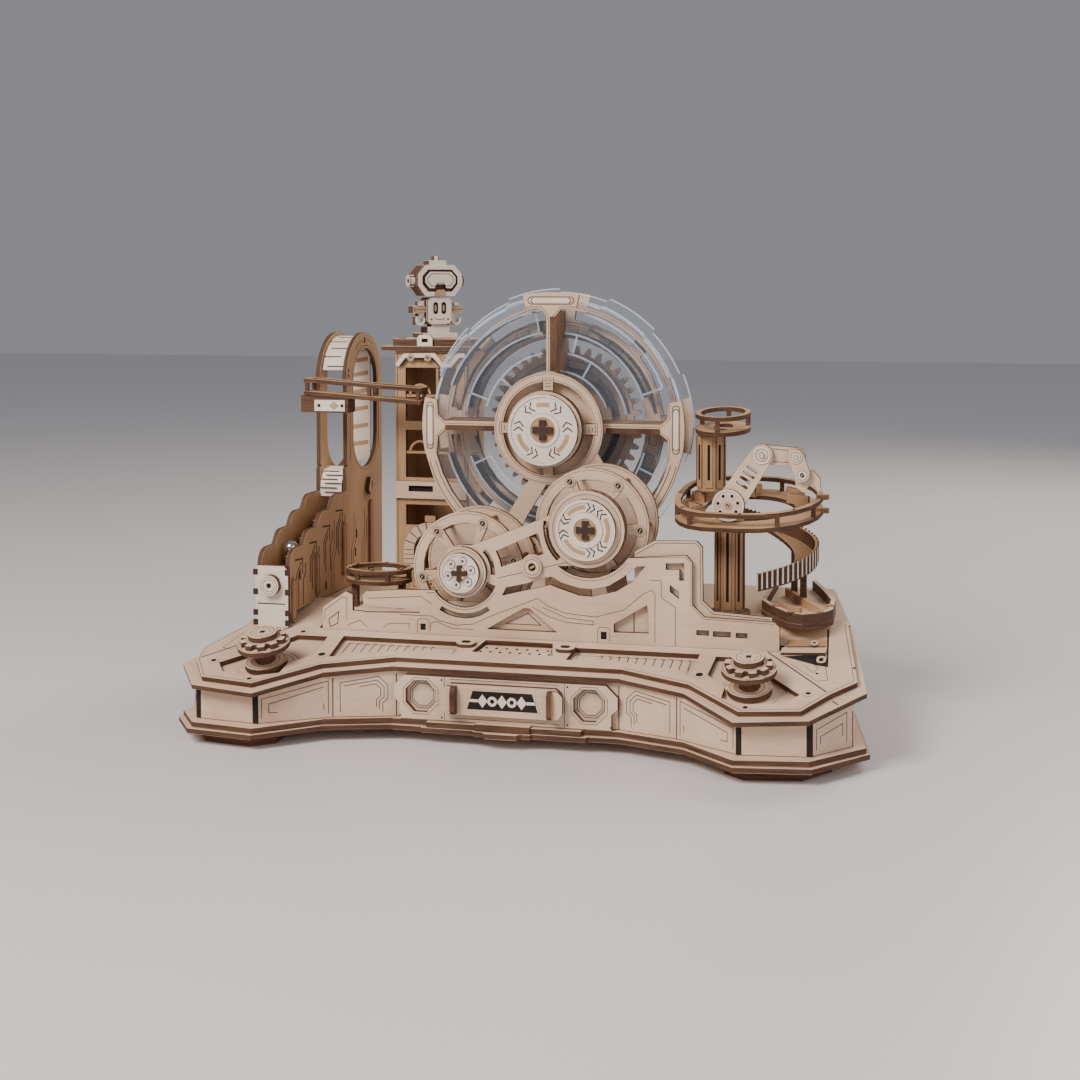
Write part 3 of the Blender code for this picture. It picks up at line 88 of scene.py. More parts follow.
def point(x, y, z):
    return Vector((x + DRAW_TO_CENTRE, y + DRAW_TO_ORIGIN, z)) * MM


# ---------------------------------------------------------------- materials


def new_material(name):
    made = bpy.data.materials.new(name)
    made.use_nodes = True
    return made, made.node_tree.nodes, made.node_tree.links, made.node_tree.nodes["Principled BSDF"]


def wood(name, dark, pale, stretch, rough=0.58, grain=0.35, scale=1.0, bump=0.25):
    """Wood with fine fibres along one axis, slow colour drift and a faint bump."""
    made, nodes, links, shader = new_material(name)
    coord = nodes.new("ShaderNodeTexCoord")
    fibre_map = nodes.new("ShaderNodeMapping")
    fibre_map.inputs["Scale"].default_value = [s * scale for s in stretch]
    fibre = nodes.new("ShaderNodeTexNoise")
    fibre.inputs["Scale"].default_value = 1.0
    fibre.inputs["Detail"].default_value = 4.0
    fibre.inputs["Roughness"].default_value = 0.65
    drift = nodes.new("ShaderNodeTexNoise")
    drift.inputs["Scale"].default_value = 24.0
    drift.inputs["Detail"].default_value = 2.0
    blend = nodes.new("ShaderNodeMath")
    blend.operation = "MULTIPLY_ADD"
    blend.inputs[1].default_value = grain
    ramp = nodes.new("ShaderNodeValToRGB")
    ramp.color_ramp.elements[0].position = 0.34
    ramp.color_ramp.elements[0].color = (*dark, 1.0)
    ramp.color_ramp.elements[1].position = 0.72
    ramp.color_ramp.elements[1].color = (*pale, 1.0)
    lift = nodes.new("ShaderNodeMath")
    lift.operation = "MULTIPLY"
    lift.inputs[1].default_value = 1.0 - grain
    relief = nodes.new("ShaderNodeBump")
    relief.inputs["Strength"].default_value = bump
    relief.inputs["Distance"].default_value = 0.0001
    links.new(coord.outputs["Object"], fibre_map.inputs["Vector"])
    links.new(fibre_map.outputs["Vector"], fibre.inputs["Vector"])
    links.new(coord.outputs["Object"], drift.inputs["Vector"])
    links.new(drift.outputs["Fac"], lift.inputs[0])
    links.new(fibre.outputs["Fac"], blend.inputs[0])
    links.new(lift.outputs[0], blend.inputs[2])
    links.new(blend.outputs[0], ramp.inputs["Fac"])
    links.new(ramp.outputs["Color"], shader.inputs["Base Color"])
    links.new(fibre.outputs["Fac"], relief.inputs["Height"])
    links.new(relief.outputs["Normal"], shader.inputs["Normal"])
    shader.inputs["Roughness"].default_value = rough
    shader.inputs["Specular IOR Level"].default_value = 0.3
    return made


ALONG_X = (60.0, 900.0, 900.0)
ALONG_Z = (900.0, 900.0, 60.0)
PALE = ((0.56, 0.385, 0.262), (0.76, 0.575, 0.42))
# TAN_AND_WARM_LIGHT is the birch drawn tan: on the stairs, tower, columns and tracks it is painted warm
# light on the same birch as the pale faces; on small details it is their own tan tone.
TAN_AND_WARM_LIGHT = ((0.36, 0.205, 0.105), (0.55, 0.35, 0.19))
BURNT = ((0.045, 0.020, 0.012), (0.170, 0.082, 0.044))

FACE = wood("birch_face_x", *PALE, ALONG_X)
FACE_Z = wood("birch_face_z", *PALE, ALONG_Z)
# Tan copies of the birch: painted warm light on the stairs, tower and tracks, and the tan tone of small
# details.
TAN_AND_WARM_LIGHT_Z = wood("birch_tan_and_painted_warm_light_z", *TAN_AND_WARM_LIGHT, ALONG_Z)
TAN_AND_WARM_LIGHT_X = wood("birch_tan_and_painted_warm_light_x", *TAN_AND_WARM_LIGHT, ALONG_X)
EDGE_Y = wood("burnt_edge_y", *BURNT, (70.0, 1500.0, 70.0), 0.7, 0.75, 1.0, 0.4)
EDGE_Z = wood("burnt_edge_z", *BURNT, (70.0, 70.0, 1500.0), 0.7, 0.75, 1.0, 0.4)
EDGE_X = wood("burnt_edge_x", *BURNT, (1500.0, 70.0, 70.0), 0.7, 0.75, 1.0, 0.4)
# A lighter copy of the burnt edge: painted warm light on the edges of the wheels, idler, pegs, tabs and
# channel slots.
WARM_LIT_EDGE = wood("burnt_edge_painted_warm_light", (0.13, 0.060, 0.028), (0.38, 0.205, 0.10), (70.0, 1500.0, 70.0), 0.65, 0.75)
LINE = wood("engraved_line", (0.030, 0.016, 0.012), (0.075, 0.040, 0.028), (400.0, 400.0, 400.0), 0.85)
# Near-black: the dark pegs and shaft ends, and painted shade in holes, slots, gaps, seams and recesses.
DARK_WOOD_AND_SHADE = wood("dark_wood_and_painted_shade", (0.012, 0.008, 0.007), (0.030, 0.019, 0.016), (300.0, 300.0, 300.0), 0.9)
WHITE = wood("white_birch", (0.66, 0.55, 0.46), (0.84, 0.74, 0.64), ALONG_X, 0.5)


def clear_plastic(name, tint, cover):
    """A thin clear sheet: mostly see-through, with a faint haze and a glossy surface."""
    made, nodes, links, shader = new_material(name)
    shader.inputs["Base Color"].default_value = (*tint, 1.0)
    shader.inputs["Alpha"].default_value = cover
    haze = nodes.new("ShaderNodeTexNoise")
    haze.inputs["Scale"].default_value = 60.0
    span = nodes.new("ShaderNodeMapRange")
    span.inputs["To Min"].default_value = 0.04
    span.inputs["To Max"].default_value = 0.12
    links.new(haze.outputs["Fac"], span.inputs["Value"])
    links.new(span.outputs["Result"], shader.inputs["Roughness"])
    return made


def steel():
    made, nodes, links, shader = new_material("polished_steel")
    shader.inputs["Metallic"].default_value = 1.0
    shader.inputs["Base Color"].default_value = (0.62, 0.63, 0.66, 1.0)
    haze = nodes.new("ShaderNodeTexNoise")
    haze.inputs["Scale"].default_value = 900.0
    span = nodes.new("ShaderNodeMapRange")
    span.inputs["To Min"].default_value = 0.06
    span.inputs["To Max"].default_value = 0.16
    links.new(haze.outputs["Fac"], span.inputs["Value"])
    links.new(span.outputs["Result"], shader.inputs["Roughness"])
    return made


CLEAR = clear_plastic("clear_sheet", (0.62, 0.68, 0.80), 0.035)
# A paler, more opaque copy of the clear sheet: painted highlight on the end faces of the clear walls and
# on dashes along the disc rims.
CLEAR_HIGHLIGHT = clear_plastic("clear_edge_painted_highlight", (0.70, 0.78, 0.92), 0.42)
STEEL = steel()
MATS = [
    FACE, EDGE_Y, LINE, DARK_WOOD_AND_SHADE, TAN_AND_WARM_LIGHT_X, WARM_LIT_EDGE, WHITE, EDGE_Z, EDGE_X, CLEAR, STEEL, FACE_Z, TAN_AND_WARM_LIGHT_Z,
    CLEAR_HIGHLIGHT
]
(
    M_FACE, M_EDGE, M_LINE, M_DARK_WOOD_AND_SHADE, M_TAN_AND_WARM_LIGHT, M_WARM_LIT_EDGE, M_WHITE, M_EDGE_Z, M_EDGE_X, M_CLEAR, M_STEEL,
    M_FACE_Z, M_TAN_AND_WARM_LIGHT_Z, M_CLEAR_HIGHLIGHT
) = range(14)


# ---------------------------------------------------------------- dressed CAD plates


def dress(node, axes, face, edge, bevel=0.14):
    """The CAD plate: birch on the faces that look along axes, burnt edges elsewhere, eased corners."""
    source = frame["nodes"][node]
    bm = bmesh.new()
    bm.from_mesh(source.data)
    bmesh.ops.remove_doubles(bm, verts=bm.verts, dist=1e-6)
    bmesh.ops.dissolve_limit(bm, angle_limit=0.01, verts=bm.verts, edges=bm.edges)
    bmesh.ops.triangulate(bm, faces=[f for f in bm.faces if len(f.verts) > 4])
    bm.normal_update()
    for f in bm.faces:
        f.material_index = 0 if any(abs(f.normal.dot(a)) > 0.75 for a in axes) else 1
        f.smooth = False
    mesh = bpy.data.meshes.new(node + "_ply")
    bm.to_mesh(mesh)
    bm.free()
    mesh.materials.append(face)
    mesh.materials.append(edge)
    made = bpy.data.objects.new(node + "_ply", mesh)
    bpy.context.scene.collection.objects.link(made)
    ease = made.modifiers.new("ease", "BEVEL")
    ease.width = bevel * MM
    ease.segments = 1
    ease.limit_method = "ANGLE"
    ease.angle_limit = math.radians(50)
    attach(made, body_of(source)[0])
    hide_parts(node)
    return made


SIDE_WALLS = [
    X, Y, Vector((0.88, 0.47, 0)), Vector((0.88, -0.47, 0)), Vector((0.3, 0.95, 0)),
    Vector((0.3, -0.95, 0)), Vector((0.55, 0.83, 0)), Vector((0.55, -0.83, 0))
]
SLOPED = [DECK_NORMAL]
LEVEL = [Z]
FRONTAL = [Y]
SIDEWAYS = [X]
ROBOT_YAW = 43.0
ROBOT_FRONT = Matrix.Rotation(math.radians(ROBOT_YAW), 3, "Z") @ -Y

for names, axes, face, edge in (
    (
        "bottom_plate lower_rim_plate rear_platform foot_front_left foot_front_right foot_rear tower_roof "
        "collecting_tray",
        LEVEL, FACE, EDGE_Z
    ),
    ("rim_plate deck_plate left_knob right_knob", SLOPED, FACE, EDGE_Z),
    ("left_wall right_wall", SIDE_WALLS, FACE, EDGE_Z),
    (
        "rear_wall front_panel nameplate fascia_plate fascia_backer left_dial mid_dial top_dial "
        "train_bearing_plate",
        FRONTAL, FACE, EDGE_Y
    ),
    # Wheel edges in the lighter copy of the burnt edge: painted warm light.
    ("left_wheel mid_wheel idler_gear hub_support wheel_frame", FRONTAL, FACE, WARM_LIT_EDGE),
    ("window_ring maze_gear drive_pinion rear_support", FRONTAL, FACE_Z, EDGE_Y),
    # The tower here, and the shell, stairs and tracks further down, use the tan copy of the birch: painted
    # warm light.
    ("tower_front", FRONTAL, TAN_AND_WARM_LIGHT_Z, EDGE_Y),
    ("stair_front_plate", FRONTAL, WHITE, EDGE_Y),
    ("arm_pedestal upper_arm forearm wrist_link claw", FRONTAL, FACE, EDGE_Y),
    ("robot_body robot_head robot_left_arm robot_right_arm", [ROBOT_FRONT, Z], WHITE, EDGE_Y),
    ("tower_shell lower_column upper_column", SIDE_WALLS, TAN_AND_WARM_LIGHT_Z, EDGE_Z),
    ("stair_left_wall stair_right_wall", SIDEWAYS, TAN_AND_WARM_LIGHT_Z, EDGE_X),
    ("stair_steps stair_lift", LEVEL, TAN_AND_WARM_LIGHT_X, EDGE_X),
    ("barrel_strip lower_strip", [Y, Z, Vector((0, 0.7, 0.7)), Vector((0, -0.7, 0.7))], WHITE, EDGE_X),
    ("top_track mid_track upper_track lower_left_track spiral_ramp", LEVEL, TAN_AND_WARM_LIGHT_X, EDGE_Z),
):
    for node in names.split():
        dress(node, axes, face, edge)

for node in ("front_disc", "rear_disc"):
    disc = frame["nodes"][node]
    for i in range(max(1, len(disc.material_slots))):
        if disc.material_slots:
            disc.material_slots[i].material = CLEAR
        else:
            disc.data.materials.append(CLEAR)


# ---------------------------------------------------------------- drawn details


class Group:
    """One mesh that collects small solids which ride on the same body."""

    made = {}

    def __init__(self, name, body):
        self.name, self.body, self.bm = name, body, bmesh.new()
        Group.made[name] = self

    def finish(self):
        bmesh.ops.recalc_face_normals(self.bm, faces=self.bm.faces)
        mesh = bpy.data.meshes.new(self.name)
        self.bm.to_mesh(mesh)
        self.bm.free()
        for m in MATS:
            mesh.materials.append(m)
        made = bpy.data.objects.new(self.name, mesh)
        bpy.context.scene.collection.objects.link(made)
        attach(made, self.body)


class Sheet:
    """A drawing plane: where (u, v) in millimetres goes, and the outward normal."""

    def __init__(self, origin, u, v, n):
        self.o, self.u, self.v, self.n = origin, u, v, n

    def at(self, p, lift=0.0):
        return self.o + (self.u * p[0] + self.v * p[1] + self.n * lift) * MM


def front(y):
    return Sheet(point(0, y, 0), X, Z, -Y)


def right(x):
    return Sheet(point(x, 0, 0), Y, Z, X)


def left(x):
    return Sheet(point(x, 0, 0), Y, Z, -X)


def top(z):
    return Sheet(point(0, 0, z), X, Y, Z)


def slope(height):
    return Sheet(point(0, 0, height), X, Vector((0.0, 1.0, SLOPE)), DECK_NORMAL)


def solid(group, sheet, loops, height, sink=0.05, face=M_FACE, edge=M_EDGE):
    """A small plate standing height proud of the sheet, from an outline and its holes."""
    bm = group.bm
    flat = [p for loop in loops for p in loop]
    tris = tessellate_polygon([[Vector((u, v, 0)) for u, v in loop] for loop in loops])
    upper = [bm.verts.new(sheet.at(p, height)) for p in flat]
    lower = [bm.verts.new(sheet.at(p, -sink)) for p in flat]
    for a, b, c in tris:
        bm.faces.new((upper[a], upper[b], upper[c])).material_index = face
        bm.faces.new((lower[c], lower[b], lower[a])).material_index = edge
    start = 0
    for loop in loops:
        n = len(loop)
        for i in range(n):
            j = (i + 1) % n
            bm.faces.new(
                (upper[start + i], upper[start + j], lower[start + j], lower[start + i])
            ).material_index = edge
        start += n


def arc(c, r, a0, a1, steps):
    return [
        (
            c[0] + r * math.cos(math.radians(a0 + (a1 - a0) * i / steps)),
            c[1] + r * math.sin(math.radians(a0 + (a1 - a0) * i / steps))
        )
        for i in range(steps + 1)
    ]


def disc(c, r, steps=24):
    return arc(c, r, 0, 360 - 360 / steps, steps - 1)


def ring(c, r0, r1, steps=32):
    return [disc(c, r1, steps), disc(c, r0, steps)]


def sector(c, r0, r1, a0, a1, steps=8):
    return arc(c, r1, a0, a1, steps) + arc(c, r0, a1, a0, steps)


def box2(x0, y0, x1, y1):
    return [(x0, y0), (x1, y0), (x1, y1), (x0, y1)]


def slot(p, q, r, steps=5):
    a = math.degrees(math.atan2(q[1] - p[1], q[0] - p[0]))
    return arc(q, r, a - 90, a + 90, steps) + arc(p, r, a + 90, a + 270, steps)


def turn(points, c, degrees, base=(0.0, 0.0)):
    a = math.radians(degrees)
    cs, sn = math.cos(a), math.sin(a)
    return [
        (c[0] + cs * (x - base[0]) - sn * (y - base[1]), c[1] + sn * (x - base[0]) + cs * (y - base[1]))
        for x, y in points
    ]


def line(group, sheet, points, width=0.4, closed=False, height=0.05, mat=M_LINE):
    """An engraved line, drawn as a thin dark inlay with mitred corners."""
    pts = [Vector(p) for p in points]
    n = len(pts)
    half = width / 2
    sides = []
    for i in range(n):
        before = pts[i] - pts[i - 1] if closed or i > 0 else pts[1] - pts[0]
        after = pts[(i + 1) % n] - pts[i] if closed or i < n - 1 else pts[-1] - pts[-2]
        before.normalize()
        after.normalize()
        n0, n1 = Vector((-before.y, before.x)), Vector((-after.y, after.x))
        mitre = n0 + n1
        mitre = mitre.normalized() if mitre.length > 1e-6 else n0
        reach = half / max(0.35, mitre.dot(n0))
        sides.append((pts[i] + mitre * reach, pts[i] - mitre * reach))
    bm = group.bm
    rows = []
    for a, b in sides:
        rows.append(
            [bm.verts.new(sheet.at(p, h)) for p, h in ((a, height), (b, height), (b, -0.08), (a, -0.08))]
        )
    count = n if closed else n - 1
    for i in range(count):
        r0, r1 = rows[i], rows[(i + 1) % n]
        for k in range(4):
            m = (k + 1) % 4
            bm.faces.new((r0[k], r0[m], r1[m], r1[k])).material_index = mat
    if not closed:
        bm.faces.new(rows[0]).material_index = mat
        bm.faces.new(rows[-1][::-1]).material_index = mat


def lines(group, sheet, many, width=0.4, closed=False):
    for pts in many:
        line(group, sheet, pts, width, closed)


def peg(group, sheet, c, r=1.3, collar=2.6, height=0.35):
    """A pin's end: a raised collar with an engraved ring, a dark core and a pale key across it."""
    solid(group, sheet, ring(c, r, collar, 18), height, face=M_FACE, edge=M_WARM_LIT_EDGE)
    line(group, sheet, disc(c, (r + collar) / 2 + 0.1, 16), 0.22, True, height + 0.04)
    solid(group, sheet, [disc(c, r, 12)], height * 0.4, face=M_DARK_WOOD_AND_SHADE, edge=M_DARK_WOOD_AND_SHADE)
    solid(
        group, sheet, [turn(box2(-r * 0.75, -r * 0.28, r * 0.75, r * 0.28), c, 60)], height * 0.8,
        face=M_TAN_AND_WARM_LIGHT, edge=M_EDGE
    )


def plus(group, sheet, c, size, arm, height, turned=0.0):
    """A cross-shaped shaft end in dark wood."""
    s, a = size, arm
    outline = [
        (-a, -s), (a, -s), (a, -a), (s, -a), (s, a), (a, a), (a, s), (-a, s), (-a, a), (-s, a), (-s, -a),
        (-a, -a)
    ]
    solid(group, sheet, [turn(outline, c, turned)], height, face=M_LINE, edge=M_DARK_WOOD_AND_SHADE)
    line(group, sheet, turn([(-s * 0.8, 0), (s * 0.8, 0)], c, turned), 0.3, False, height + 0.04)
    line(group, sheet, turn([(0, -s * 0.8), (0, s * 0.8)], c, turned), 0.3, False, height + 0.04)


def heads(group, sheet, c, r, angle, sense, half):
    """Two nested engraved arrowheads on a circle of radius r, pointing round it."""
    for k in (0.0, 1.0):
        a = angle + sense * math.degrees(k * half * 1.1 / r)
        centre = turn([(r, 0.0)], c, a)[0]
        line(
            group, sheet,
            turn(
                [(-half, -half * 0.4 * sense), (0, half * 0.4 * sense), (half, -half * 0.4 * sense)],
                centre, a
            ),
            0.55, False, 0.26
        )


def pin_end(group, sheet, c):
    """The front end of a cage pin: collar, dark core and pale key."""
    solid(group, sheet, ring(c, 1.4, 2.7, 20), 0.55, face=M_FACE, edge=M_EDGE)
    line(group, sheet, disc(c, 2.1, 16), 0.22, True, 0.6)
    solid(group, sheet, [disc(c, 1.28, 12)], 0.88, face=M_DARK_WOOD_AND_SHADE, edge=M_EDGE)
    solid(group, sheet, [turn(box2(-0.95, -0.32, 0.95, 0.32), c, 60)], 1.02, face=M_TAN_AND_WARM_LIGHT, edge=M_EDGE)


BASE, MAZE, MID, LEFT = (
    Group(n, b)
    for n,
    b in (
        ("base_details", "base"), ("maze_details", "maze_wheel"), ("mid_wheel_details", "mid_wheel"),
        ("left_wheel_details", "left_wheel")
    )
)
IDLER = Group("idler_details", "idler")
KNOB_R = Group("right_knob_details", "right_knob")
KNOB_L = Group("left_knob_details", "left_knob")
ARM1 = Group("upper_arm_details", "upper_arm")
ARM2 = Group("forearm_details", "forearm")
ARM3 = Group("wrist_details", "wrist")

LEFT_AXIS, MID_AXIS, MAZE_AXIS = (-30.0, 77.6), (33.6, 100.9), (2.5, 145.5)


def dials():
    face = front(35.0 - 0.4)
    solid(LEFT, face, ring(LEFT_AXIS, 8.9, 9.7, 36), 0.5, face=M_WHITE)
    solid(LEFT, face, [disc(LEFT_AXIS, 8.9, 32), disc(LEFT_AXIS, 2.6, 16)], 0.12, face=M_WHITE)
    for k in range(6):
        c = turn([(6.1, 0)], LEFT_AXIS, 15 + 60 * k)[0]
        solid(LEFT, face, ring(c, 1.0, 1.9, 16), 0.6, face=M_WHITE)
        line(LEFT, face, disc(c, 2.05, 16), 0.28, True, 0.2)
        solid(LEFT, face, [disc(c, 0.5, 8)], 0.3, face=M_LINE, edge=M_LINE)
    plus(LEFT, face, LEFT_AXIS, 3.9, 1.25, 1.5)

    back = front(37.0)
    line(LEFT, back, disc(LEFT_AXIS, 11.4, 36), 0.25, True)
    line(MID, back, disc(MID_AXIS, 17.0, 40), 0.25, True)

    solid(MID, face, ring(MID_AXIS, 13.4, 14.8, 44), 0.6, face=M_WHITE)
    solid(MID, face, ring(MID_AXIS, 8.8, 13.4, 40), 0.1, face=M_WHITE)
    solid(MID, face, ring(MID_AXIS, 5.8, 8.6, 32), 0.55, face=M_WHITE)
    solid(MID, face, [disc(MID_AXIS, 5.7, 28)], 0.12, face=M_TAN_AND_WARM_LIGHT, edge=M_LINE)
    for a0, a1 in ((82, 150), (-40, 41), (197, 278)):
        solid(MID, face, [sector(MID_AXIS, 10.2, 12.2, a0 + 9, a1 - 9, 9)], 0.2, face=M_TAN_AND_WARM_LIGHT, edge=M_LINE)
        heads(MID, face, MID_AXIS, 11.1, a0, -1, 2.1)
        heads(MID, face, MID_AXIS, 11.1, a1, 1, 2.1)
    plus(MID, face, MID_AXIS, 4.5, 1.6, 1.6)

    hub = front(71.0)
    solid(MAZE, hub, ring(MAZE_AXIS, 16.9, 18.1, 52), 0.6, face=M_WHITE)
    solid(MAZE, hub, ring(MAZE_AXIS, 8.7, 16.9, 48), 0.1, face=M_WHITE)
    solid(MAZE, hub, ring(MAZE_AXIS, 6.6, 8.5, 36), 0.55, face=M_WHITE)
    solid(MAZE, hub, [disc(MAZE_AXIS, 6.5, 28)], 0.12, face=M_TAN_AND_WARM_LIGHT, edge=M_LINE)
    for a0, a1 in ((75, 105), (190, 235), (305, 350)):
        solid(MAZE, hub, [sector(MAZE_AXIS, 11.9, 14.1, a0, a1, 7)], 0.2, face=M_TAN_AND_WARM_LIGHT, edge=M_LINE)
    for a, sense in ((118, 1), (62, -1), (178, -1), (240, 1), (2, 1), (302, -1)):
        heads(MAZE, hub, MAZE_AXIS, 12.9, a, sense, 2.6)
    plus(MAZE, hub, MAZE_AXIS, 5.2, 1.7, 1.8)
    line(MAZE, front(75.8), disc(MAZE_AXIS, 18.9, 40), 0.25, True)


def cage_wheels():
    for group, axis, phase in ((LEFT, LEFT_AXIS, 11.4), (MID, MID_AXIS, 57.0)):
        rim = front(47.7)
        for k in range(6):
            c = turn([(24.3, 0)], axis, phase + 60 * k)[0]
            pin_end(group, rim, c)
            line(group, rim, turn([(19.5, 0), (21.4, 0)], axis, phase + 60 * k), 0.2)
        line(group, rim, disc(axis, 27.6, 56), 0.2, True)
        line(group, Sheet(point(0, 70.0, 0), X, Z, -Y), disc(axis, 27.6, 48), 0.25, True)
        for k in range(6):
            a0 = phase + 60 * k
            line(group, rim, arc(axis, 22.6, a0 + 16, a0 + 44, 8), 0.2)
    ix, iz = idler_axis()
    face = front(39.0)
    solid(IDLER, face, ring((ix, iz), 2.0, 4.9, 28), 0.9, -0.0, face=M_FACE, edge=M_WARM_LIT_EDGE)
    line(IDLER, face, disc((ix, iz), 3.9, 24), 0.25, True, 0.96)
    solid(IDLER, face, [disc((ix, iz), 2.0, 14)], 0.3, face=M_DARK_WOOD_AND_SHADE, edge=M_DARK_WOOD_AND_SHADE)
    solid(IDLER, face, [turn(box2(-1.3, -0.5, 1.3, 0.5), (ix, iz), 30)], 0.7, face=M_TAN_AND_WARM_LIGHT)


def idler_axis():
    dx, dz = MID_AXIS[0] - LEFT_AXIS[0], MID_AXIS[1] - LEFT_AXIS[1]
    span = math.hypot(dx, dz)
    along = (36.0**2 - 34.0**2 + span**2) / (2 * span)
    aside = math.sqrt(36.0**2 - along**2)
    return LEFT_AXIS[0] + (dx * along + dz * aside) / span, LEFT_AXIS[1] + (dz * along - dx * aside) / span


def maze_wheel():
    plate = front(86.6)
    for angle in (0, 90, 180):
        slot_line = slot((65.6, -10.4), (65.6, 10.4), 1.9, 6)
        line(MAZE, plate, turn(slot_line, MAZE_AXIS, angle), 0.35, True)
        bar = slot((65.6, -10.4), (65.6, 10.4), 1.2, 5)
        solid(MAZE, plate, [turn(bar, MAZE_AXIS, angle)], 0.25, face=M_WHITE, edge=M_LINE)
        for v in (-1, 1):
            line(
                MAZE, plate, turn(arc((65.6, v * 9.4), 1.2, 180, 180 - v * 180, 6), MAZE_AXIS, angle),
                0.5, False, 0.3, M_EDGE
            )
        outline = [(62.4, -13.0), (62.4, -5.2), (57.6, -1.2), (26.0, -1.2)]
        line(MAZE, plate, turn(outline, MAZE_AXIS, angle), 0.22)
        line(MAZE, plate, turn([(u, -v) for u, v in outline], MAZE_AXIS, angle), 0.22)
    for angle, v0, v1 in ((90, -2.4, 0.5), (0, -2.4, 0.4), (180, -0.4, 2.4)):
        solid(
            MAZE, plate, [turn(box2(29.2, v0, 57.4, v1), MAZE_AXIS, angle)], 0.12, 0.4, face=M_EDGE,
            edge=M_EDGE
        )
    line(MAZE, plate, arc(MAZE_AXIS, 68.4, 196, 344, 50), 0.3)
    line(MAZE, plate, arc(MAZE_AXIS, 65.4, 196, 344, 50), 0.3)

    support = front(81.0)
    line(BASE, support, disc(MAZE_AXIS, 28.0, 64), 0.22, True)
    line(BASE, support, disc(MAZE_AXIS, 25.0, 64), 0.22, True)
    for angle in (0, 90, 180):
        patch = turn(box2(19.6, -3.0, 26.0, 3.0), MAZE_AXIS, angle)
        line(BASE, support, patch, 0.25, True)
        for u in (21.4, 23.0, 24.6):
            line(BASE, support, turn([(u, -1.6), (u + 0.5, 0), (u, 1.6)], MAZE_AXIS, angle), 0.25)

    # Clear walls: rims, maze arcs and radial stops between the two discs, their front faces in painted
    # highlight.
    for r, a0, a1 in (
        (66.2, 0, 359), (60.0, 20, 76), (60.0, 102, 160), (48.5, 18, 84), (48.5, 98, 170), (38.0, 10, 80),
        (38.0, 100, 165), (28.5, 20, 160), (48.5, 200, 262), (48.5, 276, 345), (38.0, 205, 335),
        (60.0, 195, 345)
    ):
        steps = max(8, int((a1 - a0) / 7))
        band = Sheet(point(0, 104.0, 0), X, Z, -Y)
        solid(
            CLEARS, band, [sector(MAZE_AXIS, r, r + 1.1, a0, a1, steps)], 8.6, 0.0, face=M_CLEAR_HIGHLIGHT,
            edge=M_CLEAR
        )
    for a, r0, r1 in (
        (20, 49.6, 60), (76, 39.1, 48.5), (100, 49.6, 60), (140, 29.6, 38), (160, 39.1, 48.5),
        (60, 29.6, 38), (205, 39.1, 48.5), (262, 49.6, 60), (300, 39.1, 48.5), (335, 49.6, 60)
    ):
        stop = turn(box2(r0, -0.55, r1, 0.55), MAZE_AXIS, a)
        solid(
            CLEARS, Sheet(point(0, 104.0, 0), X, Z, -Y), [stop], 8.6, 0.0, face=M_CLEAR_HIGHLIGHT, edge=M_CLEAR
        )
    # Dashes of painted highlight along the rims of the two clear discs.
    for y, r, drop in ((93.5, 67.9, 1.6), (104.0, 71.9, 1.8)):
        for k in range(8):
            rim = Sheet(point(0, y, 0), X, Z, -Y)
            solid(
                CLEARS, rim, [sector(MAZE_AXIS, r - 0.7, r, 45 * k, 45 * k + 22.5, 6)], 0.05, 0.9,
                face=M_CLEAR_HIGHLIGHT, edge=M_CLEAR_HIGHLIGHT
            )
            solid(
                CLEARS, rim, [sector(MAZE_AXIS, r - drop - 0.7, r - drop, 45 * k + 23.5, 45 * k + 44, 6)],
                0.05, 0.9, face=M_CLEAR_HIGHLIGHT, edge=M_CLEAR_HIGHLIGHT
            )

    ring_face = front(105.8)
    for k in range(24):
        a = 15 * k + 4
        if min(abs((a % 90)), abs(90 - (a % 90))) < 7:
            continue
        line(MAZE, ring_face, sector(MAZE_AXIS, 48.4, 52.6, a, a + 9, 4), 0.25, True)
    line(MAZE, ring_face, disc(MAZE_AXIS, 62.4, 64), 0.25, True)
    line(MAZE, ring_face, disc(MAZE_AXIS, 54.4, 64), 0.25, True)
    gear_face = front(117.0)
    line(MAZE, gear_face, disc(MAZE_AXIS, 33.5, 48), 0.3, True)
    # Dark sectors on the gear's face: painted shade where its windows show darkness behind.
    for k in range(6):
        solid(
            MAZE, gear_face, [sector(MAZE_AXIS, 21.0, 30.0, 60 * k + 8, 60 * k + 52, 7)], 0.08,
            face=M_DARK_WOOD_AND_SHADE, edge=M_DARK_WOOD_AND_SHADE
        )


CLEARS = Group("clear_maze_walls", "maze_wheel")


